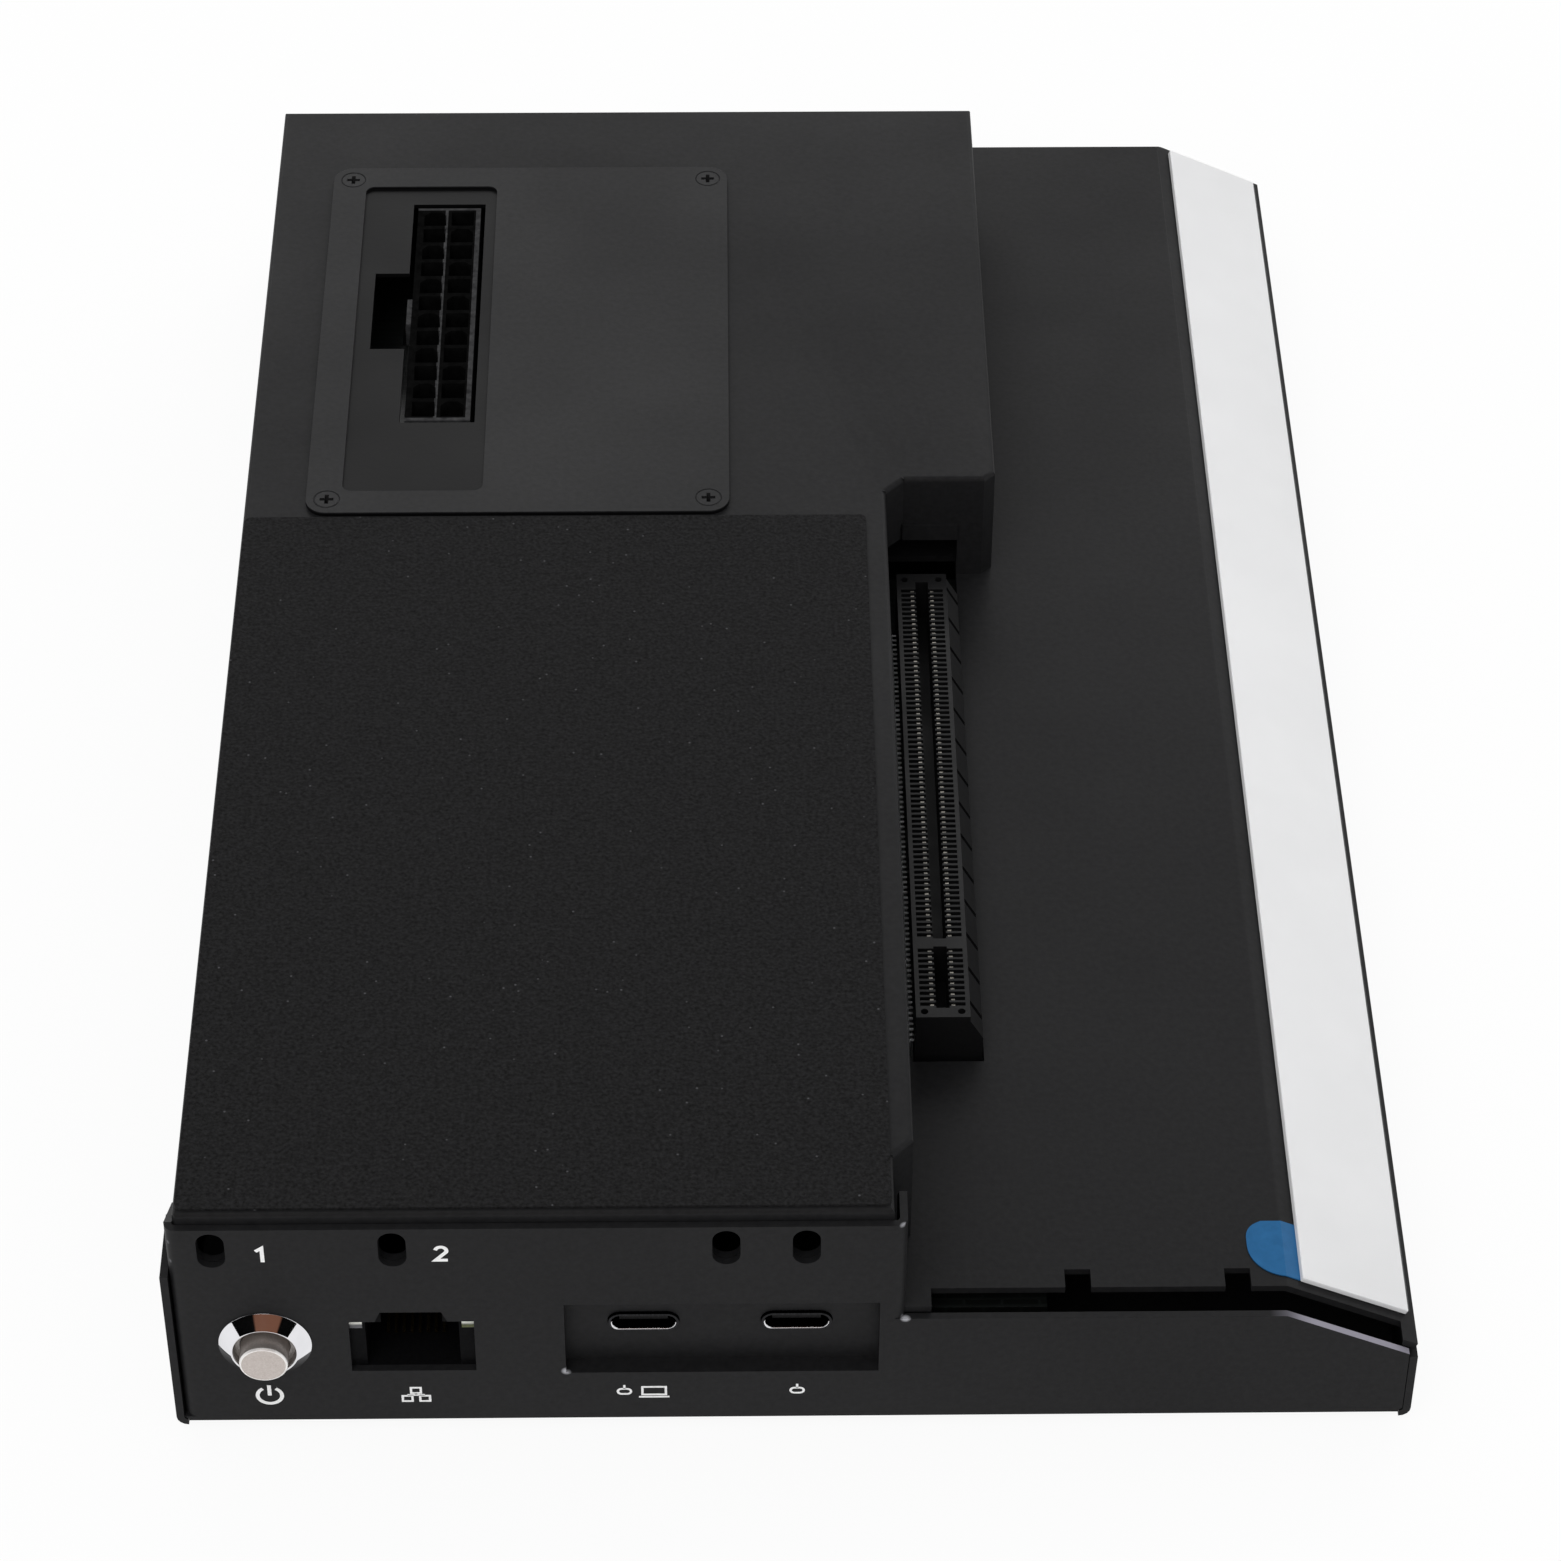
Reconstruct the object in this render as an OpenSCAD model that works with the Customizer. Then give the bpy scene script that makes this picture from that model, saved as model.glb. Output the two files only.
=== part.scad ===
// External graphics card enclosure. A folded steel tray holds the boards. A low deck carries the
// card beside its slot, and a raised box stands next to it with a mat for a power supply and a plate
// for the supply's plug. The ports and a spring return push button are in the front panel.

/* [Case] */
// Width of the case over its side walls
case_w = 158.8; // [156:0.1:200]
// Depth of the case from its front panel to its rear skirt
case_d = 248.2; // [244:0.1:300]
// Height of the low deck above the bottom
deck_h = 20.9; // [20.4:0.1:23]
// Width of the sloping side of the deck, seen from above
slope_w = 17; // [17:0.1:20]
// Height lost over the sloping side
slope_drop = 8; // [6:0.1:9]
// Thickness of the folded steel sheet
sheet = 1; // [0.8:0.05:1.2]
// Outer radius of a fold in the sheet
bend_r = 1.5; // [1.4:0.1:2]
// Height of the tray's left wall
left_wall_h = 28.6; // [26:0.1:29]
// Gap between two nested sheets
fit_gap = 0.1; // [0.05:0.05:0.15]

/* [Raised box] */
// Height of the raised box's lid above the bottom
lid_h = 39.1; // [38.6:0.1:50]
// Place of the raised box's back wall
box_d = 233; // [230:0.1:236]
// Place of the raised box's left wall
box_left = 2.2; // [2.2:0.1:3]
// Place of the long wall beside the card slot
box_narrow = 94.3; // [93.5:0.1:95]
// Width of the box's step behind the card slot
step_w = 16; // [15:0.1:20]
// Depth at which the box steps out behind the slot
step_y = 142; // [141:0.1:146]
// Radius of the lid's folded edges
lid_edge_r = 0.7; // [0.5:0.1:1]
// Width of the jog that clears the front panel's fold
jog_w = 2.7; // [2.3:0.1:3]
// Depth of the straight part of the jog
jog_d = 10.3; // [9.5:0.1:12]
// Height of the window under the step wall
window_h = 7; // [6:0.1:8]
// Height of the hem above that window
hem_h = 2.7; // [2:0.1:3.5]
// Thickness of the power supply mat
mat_t = 0.4; // [0.3:0.05:0.6]

/* [Plug plate] */
// Width of the plug plate
plate_w = 60.8; // [60:0.1:64]
// Depth of the plug plate
plate_d = 82.7; // [82:0.1:84]
// Distance of the plug plate from the case's left side
plate_x = 11; // [10:0.1:13]
// Distance of the plug plate from the box's back wall
plate_back = 16; // [10:0.1:16.2]
// Thickness of the plug plate
plate_t = 0.7; // [0.6:0.05:0.9]
// Corner radius of the plug plate
plate_r = 3; // [2:0.1:4]
// Depth of the stamped field round the header
field_drop = 0.5; // [0.4:0.05:0.6]
// Width of the stamped field
field_w = 20.2; // [19.6:0.1:21]
// Distance of the plate's screws from its edges
plate_screw_in = 3; // [2.8:0.1:3.1]

/* [Plug header] */
// Spacing of the header's cells
cell_pitch = 4.2; // [4:0.05:4.4]
// Number of cells in each row
cell_rows = 12; // [10:1:12]
// Wall between the header's cells
cell_wall = 0.8; // [0.6:0.05:1]
// Height of the header's housing
header_h = 12.8; // [11:0.1:13]
// Thickness of the header's outer wall
header_wall = 1; // [0.8:0.05:1.2]
// Gap between header and plate
header_gap = 0.7; // [0.5:0.1:0.9]

/* [Front panel] */
// Height of the panel's tall part
panel_h = 37.4; // [37:0.1:38]
// Distance of the first screw slot from the case's left side
first_slot_x = 6.75; // [6.5:0.05:8]
// Drop from the panel's top to the middle of the screw slots
screw_slot_drop = 3.8; // [3.8:0.1:4.4]
// Drop from the deck to the top of the panel's low part
panel_drop = 1.1; // [0.8:0.1:1.3]
// Height of the panel's lower edge
panel_foot = 0.8; // [0.5:0.1:1]
// Depth of the folds at the panel's ends
fold_d = 9.6; // [8:0.1:10]
// Width of the screw slots for a power supply
screw_slot_w = 3.5; // [3:0.1:4]
// Height of the screw slots
screw_slot_h = 6.2; // [5:0.1:6.4]
// Spacing of the outer pair of screw slots
screw_span = 64; // [63:0.1:66]
// Distance from the first screw slot to the second
screw_step = 22.5; // [21:0.1:24]
// Distance between the last two screw slots
screw_pair = 10; // [8:0.1:12]

/* [Ports] */
// Width of the opening for the network jack
jack_open_w = 15.8; // [15:0.1:16]
// Height of the opening for the network jack
jack_open_h = 9.5; // [9:0.1:10]
// Height of the raised middle of that opening
jack_notch_h = 1.8; // [1.5:0.1:2]
// Length of the network jack
jack_d = 21; // [18:0.1:22]
// Width of the recess for the two small ports
pocket_w = 39.8; // [38:0.1:41]
// Depth of that recess
pocket_d = 2.3; // [2:0.1:2.6]
// Spacing of the two small ports
port_span = 19.4; // [18:0.1:20]
// Width of a small port's shell
port_w = 8.94; // [8.8:0.02:9.1]
// Height of a small port's shell
port_h = 3.16; // [3:0.02:3.3]
// Length of a small port's shell
port_d = 9; // [8:0.1:10]

/* [Push button] */
// Radius of the chrome bezel
bezel_r = 5.92; // [5.8:0.02:6.2]
// Height of the bezel in front of the panel
bezel_h = 1.9; // [1.6:0.1:2.2]
// Radius of the threaded barrel
barrel_r = 4.95; // [4.8:0.05:5]
// Length of the barrel behind the panel
barrel_d = 12.5; // [11.5:0.1:14]
// Radius of the plunger
plunger_r = 3.1; // [2.9:0.05:3.2]
// How far the plunger stands in front of the bezel
plunger_out = 1.7; // [1.6:0.1:2.2]
// Travel of the plunger
travel = 1.4; // [1:0.1:1.5]
// Running clearance round the plunger
plunger_gap = 0.05; // [0.02:0.01:0.08]

/* [Card slot] */
// Length of the card slot
slot_len = 89; // [89:0.1:90]
// Width of the card slot at its top
slot_w = 7.2; // [7:0.05:7.4]
// Height of the card slot above its board
slot_h = 11.25; // [10.8:0.05:11.4]
// Distance of the slot from the front panel
slot_y = 44.85; // [44:0.05:46]
// Distance of the slot from the box's long wall
slot_in = 1.6; // [1.4:0.05:1.8]
// Spacing of the contacts
contact_pitch = 1; // [0.98:0.01:1.02]
// Width of the channel for the card's edge
channel_w = 1.8; // [1.6:0.05:2]
// Reach of the buttress on the slot's outer side
buttress_w = 1.75; // [1.4:0.05:2]
// Spacing of the cuts in the buttress
buttress_pitch = 6.4; // [5:0.1:8]

/* [Bracket slot] */
// Width of the slot for the card's bracket
bracket_w = 3; // [2.6:0.1:3.2]
// Distance from the box's long wall to the bracket slot
bracket_in = 2.3; // [2:0.1:3]
// Distance from the case's right side to the bracket slot
bracket_end = 2; // [1.6:0.1:2.4]
// Spacing of the two tab notches
tab_span = 20.32; // [20:0.02:20.6]
// Width of a tab notch
tab_w = 3.3; // [3:0.1:3.6]
// Depth of a tab notch
tab_d = 3; // [2.6:0.1:3.4]

/* [Trim] */
// Width of the trim strip along the slope
trim_w = 15.5; // [14:0.1:15.6]
// Distance of the trim strip from the top of the slope
trim_in = 2; // [1.8:0.1:2.2]
// Thickness of the trim strip
trim_t = 0.8; // [0.6:0.05:1]
// Distance of the trim strip from the front
trim_front = 5.5; // [4:0.1:7]
// Distance of the trim strip from the back
trim_back = 1.1; // [0.9:0.1:2]
// Thickness of the protective film
film_t = 0.15; // [0.1:0.01:0.2]
// Depth of the film's pull tab
film_tab_d = 9.3; // [8.5:0.1:11]
// Reach of the pull tab over the deck
film_tab_out = 4.6; // [4.4:0.1:6]

/* [Boards] */
// Thickness of the circuit boards
board_t = 1.6; // [1.4:0.05:1.8]
// Depth of the main board's face below the deck
board_drop = 4.15; // [4:0.05:4.5]
// Gap between the main board and the power board, seen from above
boards_apart = 5.4; // [4:0.1:8]
// Depth of the power board
power_d = 66; // [64:0.1:68]
// Radius of the boards' standoffs
standoff_r = 2.5; // [2.2:0.1:3]
// Radius of the boards' screws
screw_r = 1.25; // [1.2:0.01:1.3]
// Radius of a board screw's head
head_r = 2.5; // [2.4:0.1:2.8]
// Height of a board screw's head
head_h = 1.6; // [1.4:0.1:1.8]

/* [Feet and screws] */
// Height of the rubber feet
foot_h = 1.6; // [1:0.1:3]
// Radius of the rubber feet
foot_r = 5; // [4:0.1:6]
// Distance of the feet from the edges
foot_in = 12; // [10:0.1:16]
// Number of screws in the rear skirt
rear_screws = 3; // [2:1:4]

/* [Hidden] */

// Overrun of every cut, steps in a fold's arc, and facets of round parts
over = 1;
arc_steps = 4;
$fn = 32;

// Heights in the case, from its bottom
board_top = deck_h - board_drop;
board_low = board_top - board_t;
power_top = lid_h - header_h;
power_low = power_top - board_t;
plate_top = lid_h + plate_t;
lid_low = lid_h - sheet;
panel_low_h = deck_h - panel_drop;

// The sloping side and the height that its sheet takes up
slope_x = case_w - slope_w;
slope_angle = atan(slope_drop / slope_w);
slope_edge_h = deck_h - slope_drop;
slope_skin = (sheet + fit_gap) / cos(slope_angle);
right_wall_h = slope_edge_h - slope_skin;
tray_d = case_d - sheet;
deck_lap = 5;
deck_left = box_narrow - deck_lap;

// The front panel stands between the tray's walls
panel_left = sheet + fit_gap;
panel_right = case_w - sheet - fit_gap;
tall_right = box_narrow - sheet;
fold_end_h = 31.3;
ear_d = 5.8;
wall_lap = 1.1;
fold_foot = bend_r + fit_gap;
flange_d = 8;
flange_screw_side = 4;
flange_screw_y = panel_left + flange_d / 2;

// Outline of the raised box, and the place of its front flange
box_front = sheet + fit_gap;
jog_x = box_narrow - jog_w;
box_wide = box_narrow + step_w;
outer_corner = 1.6;
front_corner = 0.5;
box_ring = [
    [box_left, box_front],
    [jog_x, box_front],
    [jog_x, jog_d],
    [box_narrow, jog_d + jog_w],
    [box_narrow, step_y - jog_w],
    [box_narrow + jog_w, step_y],
    [box_wide - outer_corner, step_y],
    [box_wide, step_y + outer_corner],
    [box_wide, box_d],
    [box_left, box_d]
];
hem_t = 0.5;
plate_y = box_d - plate_back - plate_d;
mat_side = 0.3;
mat_front = 0.7;
mat_gap = 0.6;
mat_d = plate_y - mat_gap - box_front - mat_front;
mat_r = 1;
window_side = 0.4;

// The screw slots for the power supply
screw_slot_xs = [
    first_slot_x,
    first_slot_x + screw_step,
    first_slot_x + screw_span,
    first_slot_x + screw_span + screw_pair
];
screw_slot_z = panel_h - screw_slot_drop;

// The push button
button_side = 6.3;
button_drop = 0.85;
button_x = panel_left + barrel_r + button_side;
button_z = board_top - button_drop;
bezel_rim_t = 0.5;
bezel_ring_w = 1;
dome_share = 0.62;
barrel_wall = 0.9;
bore_r = plunger_r + plunger_gap;
chamber_r = barrel_r - barrel_wall;
collar_gap = 0.15;
collar_r = chamber_r - collar_gap;
neck_d = 3;
collar_t = 1;
stem_r = 1.5;
stem_d = 2.6;
base_t = 3;
base_rim_t = 0.6;
base_top = barrel_d - base_t;
plunger_edge = 0.35;
spring_wire = 0.22;
spring_r = (stem_r + chamber_r) / 2;
spring_top = neck_d + plunger_gap + collar_t;
spring_turns = 5;
coil_steps = 14;
coil_sides = 6;
nut_across = 12.1;
nut_t = 2.4;
terminal_w = 2.4;
terminal_t = 0.5;
terminal_d = 5;
terminal_in = 1.6;

// The network jack, sunk into the main board
jack_from_button = 18.6;
jack_x = button_x + jack_from_button;
jack_sink = 6.35;
jack_foot = board_top - jack_sink;
jack_wall = 0.3;
jack_frame = 1.6;
jack_w = jack_open_w + 2 * (jack_wall + fit_gap);
jack_h = jack_open_h + jack_notch_h + jack_frame + jack_wall;
jack_low = jack_foot - jack_frame;
jack_notch_share = 0.49;
jack_notch_flank = 0.7;
mouth_share = 0.75;
mouth_d = 14;
light_w = 1.6;
light_h = 2.3;
light_d = 6;
wires = 8;
wire_pitch = 1.02;
wire_t = 0.35;
wire_rise = 2.4;
wire_front = 5;

// The two small ports and their recess
pocket_from_jack = 11.4;
pocket_x = jack_x + jack_open_w / 2 + pocket_from_jack;
pocket_below = 7;
pocket_above = 6.2;
pocket_low = board_top - pocket_below;
pocket_high = board_top + pocket_above;
port_rise = 0.5;
port_z = board_top + port_rise;
left_port_x = pocket_x + pocket_w / 4;
right_port_x = left_port_x + port_span;
port_lip = 0.4;
port_front = pocket_d - port_lip;
port_wall = 0.3;
port_block_d = 2;
tongue_share = 0.75;
tongue_t = 0.7;
tongue_in = 0.9;
leg_w = 1.1;
leg_d = 1.6;
leg_t = 0.4;
leg_back = 3;

// The card slot and its opening in the deck
slot_x = box_narrow + slot_in;
slot_mid = slot_x + slot_w / 2;
slot_top = board_top + slot_h;
end_wall = 1.7;
key_w = 1.5;
first_contacts = 11;
second_contacts = 71;
lead_in = 0.7;
first_channel = (first_contacts - 1) * contact_pitch + 2 * lead_in;
second_channel = (second_contacts - 1) * contact_pitch + 2 * lead_in;
slot_wall = 0.6;
cell_reach = slot_w / 2 - slot_wall;
cell_depth = 6.8;
cell_w = 0.62;
contact_t = 0.42;
contact_w = 0.5;
contact_in = 0.25;
contact_drop = 0.8;
tip_drop = 0.2;
channel_run_out = 1.2;
lock_r = 0.5;
lock_in = 1.15;
lock_drop = 2;
buttress_low = 4;
buttress_cut = 0.8;
opening_side = 0.2;
opening_x = slot_x + slot_w + buttress_w + opening_side;
opening_front = 1.3;
opening_y = slot_y - opening_front;
opening_lap = 4;
opening_back = step_y + opening_lap;

// The bracket slot
bracket_x = box_narrow + bracket_in;
bracket_y = panel_left + bracket_w;
tab_from_slot = 12.2;
tab_x = slot_x + slot_w + tab_from_slot;

// The plug plate, its stamped field and its header
plate_places = [
    for (x = [plate_screw_in, plate_w - plate_screw_in], y = [plate_screw_in, plate_d - plate_screw_in])
        [plate_x + x, plate_y + y]
];
plate_head_r = screw_r + plate_t;
plate_screw_d = 4;
lid_hole_in = 4.3;
field_side = 5.1;
field_end = 4.8;
field_wall = 0.3;
field_r = 1.4;
field_x = plate_x + field_side;
field_y = plate_y + field_end;
field_d = plate_d - 2 * field_end;
header_side = 13.3;
header_end = 21.6;
header_w = 2 * cell_pitch + 2 * header_wall - cell_wall;
header_d = cell_rows * cell_pitch + 2 * header_wall - cell_wall;
header_x = plate_x + header_side;
header_y = plate_y + header_end;
header_floor = 2.4;
cell_corner = 0.9;
pin_w = 1;
pin_drop = 3;
pin_tail = 1.4;
latch_w = 5.1;
latch_d = 18.3;
catch_w = 1.4;
catch_d = 6;
catch_h = 4;

// Boards and standoffs
stand_in = 3.4;
power_y = plate_y + plate_d - power_d;
power_places = [
    for (x = [stand_in, plate_w - stand_in], y = [stand_in, power_d - stand_in])
        [plate_x + x, power_y + y]
];
board_gap = 0.3;
main_side = 3.2;
main_lap = 6.5;
main_left = button_x + barrel_r + main_side;
main_right = opening_x + main_lap;
main_front = pocket_d + sheet + board_gap;
main_back = power_y - boards_apart;
main_d = main_back - main_front;
front_stand_y = panel_left + flange_d + stand_in;
jack_stand_y = panel_left + jack_d + main_side + stand_in;
main_places = [
    [main_left + stand_in, jack_stand_y],
    [main_right - stand_in, front_stand_y],
    [main_left + stand_in, main_back - stand_in],
    [main_right - stand_in, main_back - stand_in]
];
board_screw_d = 6;

// Inner parts on the boards
chip_w = 18;
chip_t = 1.4;
chip_x = left_port_x;
chip_y = main_front + main_d / 2;
sink_w = 26;
sink_t = 2;
sink_h = 9;
fin_t = 1.2;
fins = 8;
cap_r = 4;
cap_h = 9.5;
cap_in = 8;
cap_pitch = 11;
caps = 4;
choke_w = 10;
choke_h = 6;
choke_in = 24;
choke_pitch = 14;
chokes = 3;
part_end = 14;
socket_w = 22;
socket_d = 5;
socket_h = 4.4;
socket_side = 42;
ribbon_t = 1;
ribbon_r = 3;
ribbon_w = 18;
ribbon_top = lid_low - sheet - fit_gap;
ribbon_x = plate_x + socket_side - socket_w / 2;
low_socket_in = 16;
low_socket_y = main_back - low_socket_in;
high_socket_y = power_y + sheet;

// Screws in the rear skirt and the floor, and the feet
skirt_foot = 0.8;
sheet_head_r = screw_r + sheet;
sheet_screw_d = 3;
rear_step = (slope_x - 2 * foot_in) / (rear_screws - 1);
rear_places = [for (i = [0 : rear_screws - 1]) foot_in + i * rear_step];
rear_screw_z = deck_h / 2;
floor_places = [
    jack_x - jack_w / 2 - flange_screw_side,
    pocket_x - flange_screw_side,
    box_wide,
    slope_x - flange_screw_side
];
foot_places = [
    for (x = [foot_in, case_w - foot_in], y = [foot_in, case_d - foot_in]) [x, y]
];
foot_bevel = 0.4;

// Colours
steel_black = [0.15, 0.15, 0.155];
plastic_black = [0.09, 0.09, 0.095];
board_black = [0.06, 0.08, 0.07];
brass = [0.72, 0.6, 0.36];
zinc = [0.7, 0.7, 0.72];

// Moves a piece from the case's own corner to the middle of its footprint, above its feet
module in_place() {
    translate([-case_w / 2, (bezel_h + plunger_out - case_d) / 2, foot_h]) children();
}

// Gives a shape drawn from the front its depth, from one place to another
module along_y(from, to) {
    translate([0, to, 0]) rotate([90, 0, 0]) linear_extrude(to - from) children();
}

// Gives a shape drawn from the side its width
module along_x(from, to) {
    translate([from, 0, 0]) rotate([90, 0, 90]) linear_extrude(to - from) children();
}

module box_between(low, high) {
    translate(low) cube(high - low);
}

function unit(v) = v / norm(v);
function left_of(v) = [-v.y, v.x];
function spin(v, a) = [v.x * cos(a) - v.y * sin(a), v.x * sin(a) + v.y * cos(a)];
function turn(a, b, c) =
    let (u = unit(b - a), v = unit(c - b)) atan2(u.x * v.y - u.y * v.x, u * v);

// The corner b of a path, moved to the path's left by t
function mitre(a, b, c, t) =
    let (n = left_of(unit(b - a)), m = left_of(unit(c - b))) b + t * (n + m) / (1 + n * m);

function inset_ring(ring, t) =
    let (n = len(ring))
    [for (i = [0 : n - 1]) mitre(ring[(i + n - 1) % n], ring[i], ring[(i + 1) % n], t)];

function offset_path(path, t) =
    let (last = len(path) - 1)
    [for (i = [0 : last])
        i == 0 ? path[0] + t * left_of(unit(path[1] - path[0]))
        : i == last ? path[last] + t * left_of(unit(path[last] - path[last - 1]))
        : mitre(path[i - 1], path[i], path[i + 1], t)];

// The arc that rounds the corner b of a path
function corner_arc(a, b, c, r) =
    let (t = turn(a, b, c), start = b - r * tan(abs(t) / 2) * unit(b - a))
    let (centre = start + sign(t) * r * left_of(unit(b - a)))
    [for (i = [0 : arc_steps]) centre + spin(start - centre, t * i / arc_steps)];

function rounded(path, left_r, right_r) =
    let (last = len(path) - 1)
    [for (i = [0 : last])
        each i == 0 || i == last ? [path[i]]
            : corner_arc(path[i - 1], path[i], path[i + 1],
                turn(path[i - 1], path[i], path[i + 1]) > 0 ? left_r : right_r)];

function reverse(list) = [for (i = [len(list) - 1 : -1 : 0]) list[i]];

// Section of a folded sheet whose outer face runs along a path, with the metal on its left
module folded_sheet(path, t = sheet, r = bend_r) {
    polygon(concat(
        rounded(path, r, r - t),
        reverse(rounded(offset_path(path, t), r - t, r))
    ));
}

// Takes the sharp edge off a fold that runs along +X, with the body on its +Y and -Z side
module edge_round(length, r, run_in = over, run_out = over) {
    difference() {
        translate([-run_in, -over, -r]) cube([length + run_in + run_out, r + over, r + over]);
        translate([-2 * over, r, -r]) rotate([0, 90, 0]) cylinder(h = length + 4 * over, r = r);
    }
}

// The same along one side of the lid's outline, run past its outward corners only
module lid_edge(ring, i) {
    n = len(ring);
    a = ring[i];
    b = ring[(i + 1) % n];
    run_in = turn(ring[(i + n - 1) % n], a, b) > 0 ? over : 0;
    run_out = turn(a, b, ring[(i + 2) % n]) > 0 ? over : 0;
    translate([a.x, a.y, lid_h]) rotate([0, 0, atan2(b.y - a.y, b.x - a.x)])
        edge_round(norm(b - a), lid_edge_r, run_in, run_out);
}

module round_slot(w, h) {
    square([w, h - w], center = true);
    for (side = [-1, 1]) translate([0, side * (h - w) / 2]) circle(d = w);
}

module round_plate(w, d, r) {
    translate([r, 0]) square([w - 2 * r, d]);
    translate([0, r]) square([w, d - 2 * r]);
    for (x = [r, w - r], y = [r, d - r]) translate([x, y]) circle(r);
}

// A countersunk screw, its face at the origin and its shank along -Z
module sunk_screw(head, depth) {
    translate([0, 0, screw_r - head]) cylinder(h = head - screw_r, r1 = screw_r, r2 = head);
    translate([0, 0, -depth]) cylinder(h = depth, r = screw_r);
}

// The clearance that such a screw needs
module sunk_hole(head, depth) {
    translate([0, 0, screw_r - head]) cylinder(h = head - screw_r, r1 = screw_r, r2 = head);
    translate([0, 0, -depth - over]) cylinder(h = depth + over, r = screw_r + fit_gap);
    cylinder(h = over, r = head + fit_gap);
}

// A pan headed screw that stands on a board's face
module pan_screw() {
    cylinder(h = head_h, r = head_r);
    translate([0, 0, -board_screw_d]) cylinder(h = board_screw_d, r = screw_r);
}

module standoff(height) {
    difference() {
        cylinder(h = height, r = standoff_r);
        translate([0, 0, height - board_screw_d])
            cylinder(h = board_screw_d + over, r = screw_r + fit_gap / 2);
    }
}

// The corners of the deck and its slope, from the outer edge inwards
function deck_path(left) = [[case_w, slope_edge_h], [slope_x, deck_h], [left, deck_h]];

module base_tray() in_place() color(steel_black) difference() {
    union() {
        along_y(0, tray_d)
            folded_sheet([[0, left_wall_h], [0, 0], [case_w, 0], [case_w, right_wall_h]]);
        along_y(tray_d - sheet, tray_d) polygon([
            [sheet / 2, sheet / 2],
            [case_w - sheet / 2, sheet / 2],
            [case_w - sheet / 2, right_wall_h],
            [slope_x, deck_h - slope_skin],
            [sheet / 2, deck_h - slope_skin]
        ]);
    }
    // the floor stops behind the front panel
    box_between([bend_r, -over, -over], [case_w - bend_r, panel_left, sheet + over]);
    // the left wall steps down behind the panel's fold, and again behind the raised box
    box_between([-over, fold_d + over, deck_h + wall_lap], [sheet + over, case_d, lid_h]);
    box_between([-over, box_d - outer_corner, deck_h], [sheet + over, case_d, lid_h]);
    translate([0, tray_d, 0]) rotate([180, 0, 0]) edge_round(case_w, bend_r - sheet);
    for (x = rear_places) translate([x, case_d, rear_screw_z]) rotate([90, 0, 0])
        cylinder(h = sheet_screw_d + sheet, r = screw_r + fit_gap / 2);
    for (x = floor_places) translate([x, flange_screw_y, 0]) rotate([180, 0, 0])
        sunk_hole(sheet_head_r, sheet);
}

module panel_face() {
    slope_start = slope_x - panel_drop * tan(slope_angle / 2);
    slope_end_h = panel_low_h - (panel_right - slope_start) * slope_drop / slope_w;
    polygon([
        [fold_foot, panel_foot],
        [case_w - fold_foot, panel_foot],
        [case_w - fold_foot, sheet + fit_gap],
        [panel_right, fold_foot],
        [panel_right, slope_end_h],
        [slope_start, panel_low_h],
        [tall_right - bend_r, panel_low_h],
        [tall_right - bend_r, panel_h],
        [panel_left + bend_r, panel_h],
        [panel_left + bend_r, fold_foot],
        [panel_left, fold_foot],
        [fold_foot, sheet + fit_gap]
    ]);
}

// Shape of the network jack's opening, with its raised middle
module jack_opening() {
    notch_w = jack_open_w * jack_notch_share;
    translate([jack_x, jack_foot]) polygon([
        [-jack_open_w / 2, 0],
        [jack_open_w / 2, 0],
        [jack_open_w / 2, jack_open_h],
        [notch_w / 2 + jack_notch_flank, jack_open_h],
        [notch_w / 2, jack_open_h + jack_notch_h],
        [-notch_w / 2, jack_open_h + jack_notch_h],
        [-notch_w / 2 - jack_notch_flank, jack_open_h],
        [-jack_open_w / 2, jack_open_h]
    ]);
}

// What is cut off above a fold that slopes down from a distance behind the face
module fold_slope(level_d) polygon([
    [level_d, panel_h + over],
    [level_d, panel_h],
    [fold_d + over, fold_end_h],
    [fold_d + over, panel_h + over]
]);

module port_outline(w, h) {
    square([w - h, h], center = true);
    for (side = [-1, 1]) translate([side * (w - h) / 2, 0]) circle(d = h);
}

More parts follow.
